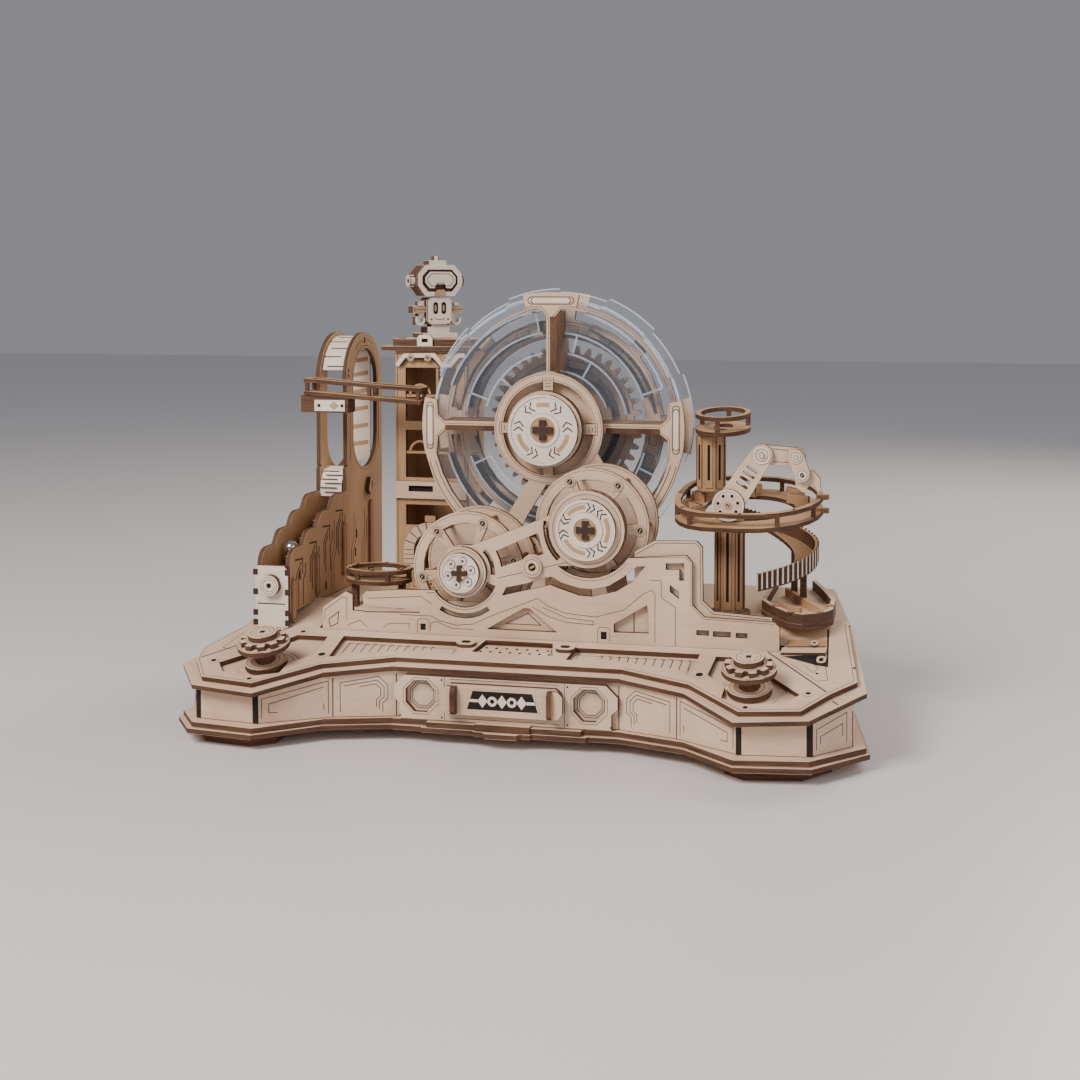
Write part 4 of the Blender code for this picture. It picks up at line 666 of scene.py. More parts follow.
def fascia():
    face = front(40.0)
    lines(BASE, face, [
        [
            (-63.1, 54.6), (-46.5, 54.6), (-42.2, 52.4), (-33.6, 50.6), (-25.0, 51.6), (-18.1, 54.8),
            (-14.7, 56.4), (8.2, 65.8), (14.0, 62.0), (22.4, 59.1), (37.3, 57.9), (51.4, 62.0),
            (61.2, 70.4), (65.3, 72.2), (66.7, 70.4), (66.7, 47.0)
        ],
        [(-47.0, 47.2), (-47.0, 51.2), (-44.0, 52.0), (-36.0, 49.0), (-25.0, 48.8)],
        [(5.2, 61.6), (14.2, 56.8), (22.6, 54.7), (36.1, 54.0), (36.1, 55.8), (22.6, 56.8), (10.6, 61.4)],
        [(63.9, 77.0), (69.8, 77.0), (69.8, 68.8), (76.7, 64.3), (76.7, 45.6)],
        [(-91.0, 48.0), (-84.6, 50.8), (-80.4, 47.5)],
        [(-72.0, 47.8), (-68.8, 50.0), (-58.4, 50.4), (-58.4, 47.5)],
        [(-12.5, 74.9), (0.4, 78.2)],
        [(11.2, 81.0), (26.6, 85.0)],
        [(-49.0, 66.2), (-44.6, 66.4)],
        [(-80.0, 62.0), (-52.0, 64.2), (-46.0, 60.2)],
    ], 0.28)
    line(BASE, face, [(-101.1, 50.5), (-95.7, 54.6), (-96.3, 48.7), (-100.3, 46.8)], 0.45, True)
    line(BASE, face, [(-103.2, 50.0), (-103.2, 55.2), (-93.6, 62.2), (-91.4, 61.6), (-91.4, 50.6)], 0.25)
    for x, z in ((-50.9, 49.0), (41.4, 49.0)):
        solid(
            BASE, face, [box2(x - 1.3, z - 1.6, x + 1.3, z + 1.6)], -0.6, 1.6, face=M_DARK_WOOD_AND_SHADE,
            edge=M_DARK_WOOD_AND_SHADE
        )
        line(
            BASE, face,
            [
                (x - 3.0, z - 3.6), (x - 3.0, z + 3.0), (x - 2.0, z + 4.0), (x + 2.0, z + 4.0),
                (x + 3.0, z + 3.0), (x + 3.0, z - 3.6)
            ],
            0.25
        )
    # Panels seen through the windows.
    inside = front(44.0)
    solid(
        BASE, inside,
        [[(-45.0, 46.5), (55.5, 46.5), (55.5, 66.0), (45.5, 66.0), (45.5, 62.0), (-45.0, 62.0)]], 1.1,
        face=M_FACE
    )
    line(BASE, inside, [(-9.0, 52.0), (9.0, 52.0), (2.4, 57.6)], 0.4, True, 1.16)
    # The tongue bars and lugs in front of the two cage wheels.
    line(BASE, face, arc(LEFT_AXIS, 19.0, 220, 330, 24), 0.22)
    line(BASE, face, arc(MID_AXIS, 25.4, 236, 320, 24), 0.22)
    line(
        BASE, face, [(55.0, 87.4), (81.4, 88.8), (84.2, 85.9), (84.2, 65.4), (90.4, 59.4), (124.2, 58.4)],
        0.2
    )
    backer = front(42.8)
    line(
        BASE, backer,
        [
            (57.0, 89.0), (66.6, 94.6), (86.0, 95.2), (88.2, 93.0), (88.6, 66.8), (94.6, 61.4),
            (122.0, 59.9)
        ],
        0.3
    )


def walls():
    def panel(p, q, out=1.3):
        d = Vector((q[0] - p[0], q[1] - p[1]))
        length = d.length
        d.normalize()
        n = Vector((d.y, -d.x)) if p[0] > 0 else Vector((-d.y, d.x))
        if n.dot(Vector((p[0], p[1] - 80.0))) < 0:
            n = -n
        o = point(p[0] + n.x * out, p[1] + n.y * out, 0)
        return Sheet(o, Vector((d.x, d.y, 0)), Z, Vector((n.x, n.y, 0))), length

    corners = [(55.0, 14.2), (84.6, 5.0), (115.8, -14.2), (146.0, -10.6)]
    right_side = [(163.0, 10.5), (151.0, 74.0), (137.5, 167.0)]
    left_side = [(154.8, 3.2), (139.5, 39.5), (138.6, 74.0), (137.5, 167.0)]
    for s, side in ((1, right_side), (-1, left_side)):
        pts = [(s * x, y) for x, y in corners + side]
        a, _ = panel(pts[0], pts[1])
        lines(BASE, a, [
            [(7.0, 13.2), (7.0, 17.6), (4.6, 19.6), (4.6, 26.2), (9.0, 30.4), (27.4, 27.6), (27.4, 13.2)],
            [(8.6, 14.6), (8.6, 18.6), (6.4, 20.4), (6.4, 25.4), (9.8, 28.6), (25.8, 26.0)],
            [(10.0, 15.6), (10.0, 19.2), (8.0, 21.0), (8.0, 24.6), (10.4, 26.8), (18.0, 25.6)],
        ], 0.3)
        b, lb = panel(pts[1], pts[2])
        lines(BASE, b, [
            [(2.4, 13.0), (2.4, 28.8), (lb - 2.6, 22.4), (lb - 2.6, 13.0)],
            [(4.6, 26.0), (lb - 6.0, 19.8), (lb - 6.0, 15.6), (lb - 10.0, 15.6)],
            [(4.6, 14.8), (4.6, 18.0)],
        ], 0.3)
        c, lc = panel(pts[2], pts[3])
        # Dark strips at the panel's ends: painted shade in the gaps at the corners.
        for u0, u1 in ((-1.6, 0.9), (lc - 0.9, lc + 1.6)):
            solid(BASE, c, [box2(u0, 11.2, u1, 26.6)], 0.12, 1.0, face=M_DARK_WOOD_AND_SHADE, edge=M_DARK_WOOD_AND_SHADE)
        d, ld = panel(pts[3], pts[4])
        lines(BASE, d, [
            [(3.6, 13.4), (3.6, 22.4), (ld - 4.2, 22.4 + 0.25 * (ld - 7.8)), (ld - 4.2, 13.4)],
            [(6.2, 15.6), (6.2, 19.0), (ld - 6.8, 19.0 + 0.25 * (ld - 13.0)), (ld - 6.8, 17.0)],
        ], 0.3)
        for sheet, u in ((a, 0.4), (b, 0.2), (d, 1.2), (d, ld - 0.4)):
            line(BASE, sheet, [(u, 11.2), (u, 31.5 if sheet is a else 30.0 if sheet is b else 27.0)], 0.5)
        e, le = panel(pts[4], pts[5])
        for u0 in (u for u in (4.0, 24.0, 44.0) if u + 15.0 < le):
            lines(
                BASE, e,
                [[(u0, 13.4), (u0, 27.0 + u0 * 0.2), (u0 + 16.0, 30.0 + u0 * 0.2), (u0 + 16.0, 13.4)]],
                0.3, True
            )
            line(BASE, e, [(u0 + 3.0, 16.0), (u0 + 3.0, 24.0), (u0 + 13.0, 26.4)], 0.25)
        f, _ = panel(pts[-2], pts[-1])
        for u0 in (4.0, 34.0, 64.0):
            lines(
                BASE, f,
                [
                    [
                        (u0, 13.6), (u0, 43.0), (u0 + 4.0, 46.6), (u0 + 22.0, 46.6), (u0 + 26.0, 43.0),
                        (u0 + 26.0, 13.6)
                    ]
                ],
                0.3, True
            )
            line(BASE, f, disc((u0 + 13.0, 30.0), 7.0, 8), 0.3, True)
            line(BASE, f, disc((u0 + 13.0, 30.0), 5.4, 8), 0.3, True)

    plane = front(12.9)
    panel_face = front(9.5)
    for s in (1, -1):
        c = (s * 41.5, 22.3)
        for r in (7.0, 5.8):
            octagon = arc(c, r, 22.5, 337.5, 7)
            line(BASE, plane, octagon, 0.3, True)
        line(BASE, panel_face, arc(c, 9.4, 22.5, 337.5, 7), 0.25, True)
        for x, z in ((31.0, 30.6), (31.0, 12.6), (52.0, 12.6)):
            solid(BASE, panel_face, [disc((s * x, z), 0.5, 8)], 0.06, face=M_DARK_WOOD_AND_SHADE, edge=M_DARK_WOOD_AND_SHADE)
        line(BASE, panel_face, [(s * 29.6, 11.4), (s * 29.6, 32.0)], 0.25)
        line(BASE, plane, [(s * 60.4, 11.2), (s * 60.4, 32.4)], 0.5)
    lines(BASE, panel_face, [[(-27.0, 31.2), (27.0, 31.2)], [(-27.0, 12.6), (27.0, 12.6)]], 0.25)

    # Nameplate: end brackets, a dark inset and a plain geometric ornament.
    badge = front(6.7)
    solid(
        BASE, badge, [[(-15.5, 27.8), (15.5, 27.8), (18.6, 17.4), (-18.6, 17.4)]], 0.15, face=M_FACE,
        edge=M_LINE
    )
    solid(
        BASE, badge, [[(-14.6, 27.0), (14.6, 27.0), (17.4, 18.2), (-17.4, 18.2)]], 0.25, face=M_DARK_WOOD_AND_SHADE,
        edge=M_LINE
    )
    solid(BASE, badge, [[(-16.2, 23.2), (-12.0, 23.2), (-12.0, 21.8), (-16.2, 21.8)]], 0.6, face=M_WHITE)
    solid(BASE, badge, [[(16.2, 23.2), (12.0, 23.2), (12.0, 21.8), (16.2, 21.8)]], 0.6, face=M_WHITE)
    for k in range(5):
        c = (-9.6 + 4.8 * k, 22.5)
        if k % 2:
            solid(BASE, badge, [disc(c, 2.4, 18), disc(c, 1.1, 12)], 0.6, face=M_WHITE)
        else:
            solid(
                BASE, badge,
                [[(c[0] - 2.5, c[1]), (c[0], c[1] - 3.2), (c[0] + 2.5, c[1]), (c[0], c[1] + 3.2)]], 0.6,
                face=M_WHITE
            )
    for s in (-1, 1):
        end = Sheet(point(s * 22.4, 0, 0), Y, Z, X * s)
        bracket = [(2.6, 17.5), (2.6, 27.0), (4.0, 29.0), (9.0, 29.0), (9.0, 15.8), (4.0, 15.8)]
        solid(BASE, end, [bracket], 2.5, 0.0, face=M_TAN_AND_WARM_LIGHT, edge=M_EDGE)
        tip = [
            (s * 25.0, 16.0), (s * 27.4, 16.0), (s * 29.6, 18.6), (s * 29.6, 26.6), (s * 27.4, 29.0),
            (s * 25.0, 29.0)
        ]
        solid(BASE, front(6.7), [tip], 2.0, face=M_FACE, edge=M_EDGE)

    # The stepped lip in the middle of the bottom rim.
    lip = top(10.8)
    for s in (-1, 1):
        line(BASE, lip, [(s * 39.0, 10.0), (s * 39.0, 11.6)], 0.5)
    solid(
        BASE, top(8.0), [[(-38.0, 6.8), (38.0, 6.8), (38.0, 10.4), (-38.0, 10.4)]], 2.6, -0.3,
        face=M_FACE, edge=M_EDGE_Z
    )
    solid(
        BASE, top(8.0), [[(-13.5, 5.2), (13.5, 5.2), (13.5, 10.0), (-13.5, 10.0)]], 3.4, -0.3,
        face=M_FACE, edge=M_EDGE_Z
    )


def deck():
    rim, deck_face = slope(RIM_TOP), slope(DECK_TOP)
    for s in (1, -1):
        for k in range(11):
            x = s * (43.0 + 4.3 * k)
            line(BASE, rim, [(x - s * 1.5, 31.0), (x, 31.0), (x, 28.2 - 0.72 * k)], 0.45)
        line(
            BASE, rim,
            [(s * 31.0, 22.2), (s * 52.0, 21.2), (s * 86.0, 13.4), (s * 87.0, 30.6), (s * 31.0, 30.6)],
            0.2, True
        )
        for c, r in (
            ((s * 93.2, 12.2), 1.8), ((s * 144.6, 0.4), 1.3), ((s * 118.5, -15.3), 1.2),
            ((s * 112.6, 34.6), 1.3)
        ):
            solid(BASE, deck_face, ring(c, r, r + 1.5, 20), 0.14, face=M_FACE, edge=M_EDGE_Z)
            solid(BASE, deck_face, [disc(c, r, 14)], 0.06, face=M_DARK_WOOD_AND_SHADE, edge=M_DARK_WOOD_AND_SHADE)
        k = (s * 118.0, 3.0)
        for r, a0, a1 in (
            (13.6, 20, 80), (13.6, 110, 160), (13.6, 200, 250), (13.6, 290, 340), (15.6, 30, 70),
            (15.6, 120, 150)
        ):
            line(BASE, rim, arc(k, r, a0, a1, 8), 0.25)
        # The seam between the deck and its wing, and the wing's map-like lines.
        line(BASE, deck_face, [(s * 121.6, 37.8), (s * 152.4, 2.8)], 0.7, False, 0.06, M_DARK_WOOD_AND_SHADE)
        shift = 0.0 if s > 0 else 6.0
        lines(BASE, deck_face, [
            [
                (s * (x - shift), y)
                for x, y in ((134.0, 27.0), (147.0, 12.4), (152.0, 13.6), (149.0, 31.0))
            ],
            [
                (s * (x - shift), y)
                for x, y in ((140.4, 25.6), (144.6, 20.0), (146.8, 24.4), (142.4, 30.2))
            ],
        ], 0.25)
        border = [(163.9, 14.0), (155.0, 70.0)] if s > 0 else [(154.9, 13.4), (144.9, 38.2)]
        line(
            BASE, deck_face,
            [
                (s * x, y)
                for x,
                y in [(56.6, 14.8), (90.2, 4.2), (116.2, -17.6), (142.4, -14.2), (153.0, 1.6)] + border
            ],
            0.25
        )
    line(BASE, rim, [(155.4, 0.4), (158.1, -2.4)], 0.7, False, 0.06, M_DARK_WOOD_AND_SHADE)
    # Beside the fascia's right end: a recess with a lug, a strip plate, and the slit along the wing.
    solid(
        BASE, deck_face, [[(128.9, 34.4), (145.5, 27.2), (150.2, 26.2), (148.8, 38.0)]], 0.05,
        face=M_DARK_WOOD_AND_SHADE, edge=M_DARK_WOOD_AND_SHADE
    )
    solid(
        BASE, deck_face, [[(128.0, 35.2), (148.8, 37.2), (148.2, 42.0), (128.0, 40.4)]], 1.4, face=M_FACE,
        edge=M_EDGE_Z
    )
    solid(
        BASE, deck_face,
        [slot((147.4, 30.0), (147.4, 32.6), 2.2, 8), slot((147.4, 30.4), (147.4, 32.0), 1.0, 6)], 1.0,
        face=M_FACE, edge=M_EDGE_Z
    )
    solid(
        BASE, deck_face, [[(130.0, 43.4), (148.0, 45.4), (147.4, 52.4), (130.0, 50.4)]], 0.6, face=M_TAN_AND_WARM_LIGHT,
        edge=M_EDGE_Z
    )
    solid(
        BASE, deck_face, [slot((142.6, 46.4), (142.6, 48.0), 2.0, 8), disc((142.6, 47.2), 0.9, 10)], 1.2,
        face=M_FACE, edge=M_EDGE_Z
    )
    line(BASE, deck_face, [(150.6, 26.2), (147.6, 64.0)], 0.9, False, 0.07, M_DARK_WOOD_AND_SHADE)
    for c in ((163.0, 26.4), (146.6, 19.4)):
        solid(BASE, deck_face, [disc(c, 0.8, 10)], 0.07, face=M_DARK_WOOD_AND_SHADE, edge=M_DARK_WOOD_AND_SHADE)
    # Dotted grille with end lugs.
    solid(
        BASE, rim, [[(-19.6, 24.0), (19.6, 24.0), (16.4, 34.4), (-16.4, 34.4)]], 0.8, face=M_FACE,
        edge=M_EDGE_Z
    )
    for y, x0, count in ((32.0, -15.5, 7), (28.1, -17.3, 8)):
        for i in range(count):
            c = (x0 + (5.17 if count == 7 else 4.94) * i, y)
            solid(BASE, rim, [disc(c, 0.75, 10)], 0.87, face=M_DARK_WOOD_AND_SHADE, edge=M_DARK_WOOD_AND_SHADE)
    for s in (-1, 1):
        lug = slot((s * 23.4, 29.5), (s * 26.6, 29.5), 3.3, 8)
        hole = slot((s * 23.9, 29.5), (s * 26.0, 29.5), 1.4, 5)
        solid(BASE, deck_face, [lug, hole], 1.8, face=M_FACE, edge=M_EDGE_Z)
        solid(BASE, deck_face, [hole], 0.06, face=M_DARK_WOOD_AND_SHADE, edge=M_DARK_WOOD_AND_SHADE)
    # Foot of the fascia: a narrow shelf, drawn as one line.
    line(BASE, deck_face, [(-104.0, 38.6), (127.0, 38.6)], 0.3)


def knobs():
    for group, s in ((KNOB_L, -1), (KNOB_R, 1)):
        base = point(s * 118.0, 3.0, RIM_TOP + 0.75)
        for height, radii in ((18.5, (5.6,)), (3.4, (9.2, 6.8)), (15.8, (8.0,))):
            sheet = Sheet(base + DECK_NORMAL * height * MM, X, UPHILL, DECK_NORMAL)
            for r in radii:
                line(group, sheet, disc((0, 0), r, 32), 0.25, True)
            if height > 16:
                for k in range(8):
                    line(group, sheet, arc((0, 0), 3.9, 45 * k, 45 * k + 26, 4), 0.3)
                solid(
                    group, sheet, [turn(box2(-1.2, -1.2, 1.2, 1.2), (0, 0), 10)], 0.1, face=M_DARK_WOOD_AND_SHADE,
                    edge=M_DARK_WOOD_AND_SHADE
                )
        washer = Sheet(base + DECK_NORMAL * 13.3 * MM, X, UPHILL, DECK_NORMAL)
        line(group, washer, disc((0, 0), 11.9, 36), 0.2, True)


def stairs():
    outer = right(-121.9)
    # Raised inner frames and channels on the right wall.
    for k, (y, z) in enumerate(((47.0, 76.0), (65.0, 82.0), (83.0, 88.0), (101.0, 94.0))):
        lines(BASE, outer, [
            [(y - 1.0, z + 2.6), (y + 8.4, z + 2.0), (y + 8.4, z - 6.0)],
            [(y + 0.6, z - 18.0), (y + 0.6, z - 6.0), (y + 6.6, z + 0.6)],
            [(y + 2.8, z - 22.0), (y + 2.8, z - 7.0), (y + 6.0, z - 3.0)],
            [(y + 9.4, z - 22.0), (y + 9.4, z - 9.0), (y + 12.0, z - 6.0), (y + 12.0, z - 1.0)],
        ], 0.85)
    for y, z0, z1 in ((43.0, 50.0, 68.0), (73.4, 58.0, 76.2), (110.5, 62.0, 87.1), (150.8, 60.0, 94.5)):
        solid(BASE, outer, [slot((y, z0), (y, z1), 2.3, 6)], 1.2, face=M_TAN_AND_WARM_LIGHT_Z, edge=M_WARM_LIT_EDGE)
        line(BASE, right(-120.7), slot((y, z0), (y, z1), 1.3, 6), 0.45, True)
    for y, z in ((86.0, 58.5), (52.0, 70.0), (128.0, 70.0), (130.0, 80.0)):
        solid(BASE, outer, [slot((y, z - 1.6), (y, z + 1.6), 0.9, 5)], 0.08, face=M_DARK_WOOD_AND_SHADE, edge=M_DARK_WOOD_AND_SHADE)
    for y in (94.0, 122.0, 138.0):
        lines(
            BASE, outer,
            [
                [(y, 54.0), (y, 72.0), (y + 4.0, 78.0), (y + 4.0, 92.0)],
                [(y + 3.0, 54.0), (y + 3.0, 70.4), (y + 7.0, 76.4), (y + 7.0, 88.0)]
            ],
            0.5
        )
    solid(
        BASE, outer,
        [
            [
                (143.0, 103.0), (146.0, 110.0), (156.0, 108.6), (158.0, 103.0), (153.0, 100.4),
                (146.0, 100.4)
            ]
        ],
        2.4, face=M_TAN_AND_WARM_LIGHT_Z, edge=M_EDGE_X
    )
    peg(BASE, right(-119.5), (150.0, 105.4), 1.0, 2.3)
    # Arch: engraved arc dashes, bolts, posts between the walls.
    for s, sheet in ((1, outer), (-1, left(-140.0))):
        line(BASE, sheet, arc((144.0, 165.6), 22.8, 60, 84, 8), 0.35)
        line(BASE, sheet, arc((144.0, 165.6), 22.8, 100, 130, 8), 0.35)
        solid(
            BASE, sheet, [turn(box2(-1.0, -1.6, 1.0, 1.6), (143.6, 188.0), 0)], 0.08, face=M_DARK_WOOD_AND_SHADE,
            edge=M_DARK_WOOD_AND_SHADE
        )
        for z in (172.0, 169.0):
            solid(BASE, sheet, [disc((119.4, z), 0.9, 10)], 0.08, face=M_DARK_WOOD_AND_SHADE, edge=M_DARK_WOOD_AND_SHADE)
        line(BASE, sheet, [(121.5, 122.0), (121.5, 150.0)], 0.5)
        line(BASE, sheet, [(164.6, 126.0), (164.6, 160.0)], 0.5)
        line(
            BASE, sheet, arc((144.5, 165.6), 19.4, 0, 180, 20) + arc((144.5, 134.0), 19.4, 180, 360, 20),
            0.3, True
        )
    # Front plate: finger joints, boss and seam.
    plate = front(37.2)
    for z in (48.0, 53.0, 63.6, 73.6):
        for x in (-139.6, -122.3):
            solid(BASE, plate, [box2(x - 1.3, z - 1.5, x + 1.3, z + 1.5)], 0.12, face=M_LINE, edge=M_LINE)
    line(BASE, plate, [(-138.6, 57.6), (-123.4, 57.6)], 0.6)
    boss = front(34.4)
    solid(BASE, boss, ring((-130.95, 67.3), 1.4, 5.2, 28), 0.4, face=M_WHITE)
    for r in (3.1, 4.3):
        line(BASE, boss, disc((-130.95, 67.3), r, 24), 0.25, True, 0.45)
    solid(
        BASE, boss, [turn(box2(-1.0, -1.0, 1.0, 1.0), (-130.95, 67.3), 15)], 0.3, face=M_DARK_WOOD_AND_SHADE,
        edge=M_DARK_WOOD_AND_SHADE
    )
    # Slits of the flexible strips.
    for i in range(11):
        a = math.radians(160 - 13.6 * i)
        r = 24.15 + 0.8
        c = point(-130.95, 143.0 + r * math.cos(a), 165.6 + r * math.sin(a))
        n = Vector((0, math.cos(a), math.sin(a)))
        sheet = Sheet(c, X, Vector((0, -math.sin(a), math.cos(a))), n)
        x0, x1 = (-6.0, 3.6) if i % 2 else (-3.6, 6.0)
        line(BASE, sheet, [(x0, 0), (x1, 0)], 0.55, False, 0.06)
    for i, (y, z) in enumerate(
        ((115.2, 104.6), (115.5, 107.0), (115.9, 109.4), (116.6, 111.6), (117.6, 113.8), (119.0, 115.8))
    ):
        sheet = Sheet(
            point(-130.95, y - 0.62, z + 0.3), X, Vector((0, 0.2, 0.98)), Vector((0, -0.97, 0.22))
        )
        x0, x1 = (-6.0, 3.6) if i % 2 else (-3.6, 6.0)
        line(BASE, sheet, [(x0, 0), (x1, 0)], 0.5, False, 0.2)
    # Pale lining seen through the arch's window.
    lining = front(160.0)
    solid(BASE, lining, [box2(-137.0, 118.0, -124.8, 181.0)], 0.9, face=M_WHITE, edge=M_EDGE)
    for z in (126, 136, 146, 156, 166, 174):
        solid(
            BASE, lining, [[(-135.5, z), (-126.0, z + 1.6), (-126.0, z + 4.0), (-135.5, z + 2.4)]], 1.0,
            face=M_TAN_AND_WARM_LIGHT, edge=M_LINE
        )
    # Box under the track's near end.
    box = front(93.8)
    solid(BASE, box, [box2(-131.0, 151.4, -113.6, 157.4)], 0.6, face=M_WHITE)
    solid(
        BASE, box, [[(-122.6, 154.4), (-119.8, 152.2), (-117.0, 154.4), (-119.8, 156.6)]], 0.75,
        face=M_TAN_AND_WARM_LIGHT, edge=M_LINE
    )
    for x in (-128.4, -115.2):
        solid(BASE, box, [disc((x, 154.4), 0.9, 12)], 0.8, face=M_DARK_WOOD_AND_SHADE, edge=M_LINE)


def tower():
    face = front(118.0)
    x0, x1 = -94.0, -53.0
    line(BASE, face, box2(x0 + 1.2, 53.6, x1 - 1.2, 181.8), 0.3, True)
    # Ornamental bracket under the roof.
    line(
        BASE, face,
        [
            (-92.6, 175.2), (-88.2, 180.6), (-71.4, 181.0), (-66.6, 175.6), (-62.0, 175.6),
            (-57.4, 181.0), (-53.8, 181.0)
        ],
        2.3, False, 1.7, M_WHITE
    )
    line(BASE, face, [(-90.6, 175.0), (-87.4, 178.4), (-71.8, 178.6), (-68.2, 175.0)], 0.4, False, 1.75)
    for x in (-84.5, -74.8, -64.3):
        peg(BASE, front(116.4), (x, 179.6), 0.9, 2.0, 0.4)
    # Cross band with a slot.
    solid(
        BASE, face, [box2(x0, 102.6, x1, 112.0), box2(-86.0, 106.4, -72.0, 109.6)], 1.8, face=M_FACE,
        edge=M_EDGE
    )
    solid(BASE, face, [box2(-86.0, 106.4, -72.0, 109.6)], 0.1, face=M_DARK_WOOD_AND_SHADE, edge=M_DARK_WOOD_AND_SHADE)
    # Brick arch over the door and the keypad-like ornament below it.
    c = (-73.5, 74.3)
    for k in range(9):
        a = 180 * k / 9
        solid(BASE, face, [sector(c, 9.6, 15.4, a + 1.2, a + 18.8, 2)], 1.8, face=M_FACE, edge=M_EDGE)
    for s in (-1, 1):
        for k in range(4):
            z = 64.6 + 2.5 * k
            solid(
                BASE, face,
                [
                    box2(
                        *sorted((c[0] + s * 9.6, c[0] + s * 15.4))[:1], z,
                        max(c[0] + s * 9.6, c[0] + s * 15.4), z + 2.1
                    )
                ],
                1.8, face=M_FACE, edge=M_EDGE
            )
    solid(BASE, face, [box2(-76.5, 90.0, -70.5, 93.4)], 2.2, face=M_TAN_AND_WARM_LIGHT, edge=M_EDGE)
    solid(BASE, face, [box2(x0 + 1.0, 53.0, x1 - 1.0, 63.4)], 1.8, face=M_TAN_AND_WARM_LIGHT, edge=M_EDGE)
    for i in range(5):
        for j in range(2):
            line(
                BASE, front(116.2),
                box2(-91.0 + 7.4 * i, 54.2 + 4.6 * j, -85.6 + 7.4 * i, 57.6 + 4.6 * j), 0.3, True
            )
            solid(
                BASE, front(116.2), [disc((-88.3 + 7.4 * i, 55.9 + 4.6 * j), 0.7, 8)], 0.1, face=M_DARK_WOOD_AND_SHADE,
                edge=M_DARK_WOOD_AND_SHADE
            )
    # Window mullions with small arches.
    for z0, z1 in ((114.0, 140.0), (145.0, 174.0)):
        solid(
            BASE, front(119.4),
            [arc((-80.0, z0 + 14.0), 6.4, 0, 180, 10) + arc((-80.0, z0 + 14.0), 5.2, 180, 0, 10)], 0.8,
            face=M_TAN_AND_WARM_LIGHT, edge=M_EDGE
        )
        solid(BASE, front(119.4), [box2(-70.8, z0, -69.4, z1)], 0.8, face=M_TAN_AND_WARM_LIGHT, edge=M_EDGE)
        solid(
            BASE, front(119.4), [box2(-88.0, z0 + 13.0, -59.0, z0 + 14.4)], 0.8, face=M_TAN_AND_WARM_LIGHT, edge=M_EDGE
        )
    # Tower sides.
    for sheet in (left(x0), right(x1)):
        for z in (70.0, 102.0, 134.0):
            line(
                BASE, sheet,
                [
                    (125.0, z), (143.0, z), (145.0, z + 4.0), (145.0, z + 22.0), (143.0, z + 26.0),
                    (125.0, z + 26.0)
                ],
                0.35, True
            )
            line(BASE, sheet, disc((135.0, z + 13.0), 6.0, 8), 0.35, True)
    back = Sheet(point(0, 149.25, 0), X, Z, Y)
    for z in (64.0, 102.0, 140.0):
        line(BASE, back, box2(x0 + 5.0, z, x1 - 5.0, z + 30.0), 0.35, True)
        line(BASE, back, box2(x0 + 8.0, z + 3.0, x1 - 8.0, z + 27.0), 0.35, True)
    # Roof: lug, second sheet line, bolt heads.
    upper = front(117.0)
    hole = box2(-78.0, 188.0, -74.4, 190.0)
    solid(
        BASE, upper,
        [
            [
                (-80.6, 186.0), (-71.8, 186.0), (-71.8, 190.4), (-73.2, 192.0), (-79.2, 192.0),
                (-80.6, 190.4)
            ],
            hole
        ],
        1.4, face=M_WHITE, edge=M_EDGE
    )
    solid(BASE, upper, [hole], 0.05, face=M_DARK_WOOD_AND_SHADE, edge=M_DARK_WOOD_AND_SHADE)
    roof = top(189.8)
    line(BASE, roof, box2(-93.0, 119.0, -52.0, 147.0), 0.3, True)
    for x, y in ((-91.0, 121.0), (-54.0, 121.0), (-91.0, 145.0), (-54.0, 145.0)):
        peg(BASE, roof, (x, y), 1.0, 2.2, 0.5)


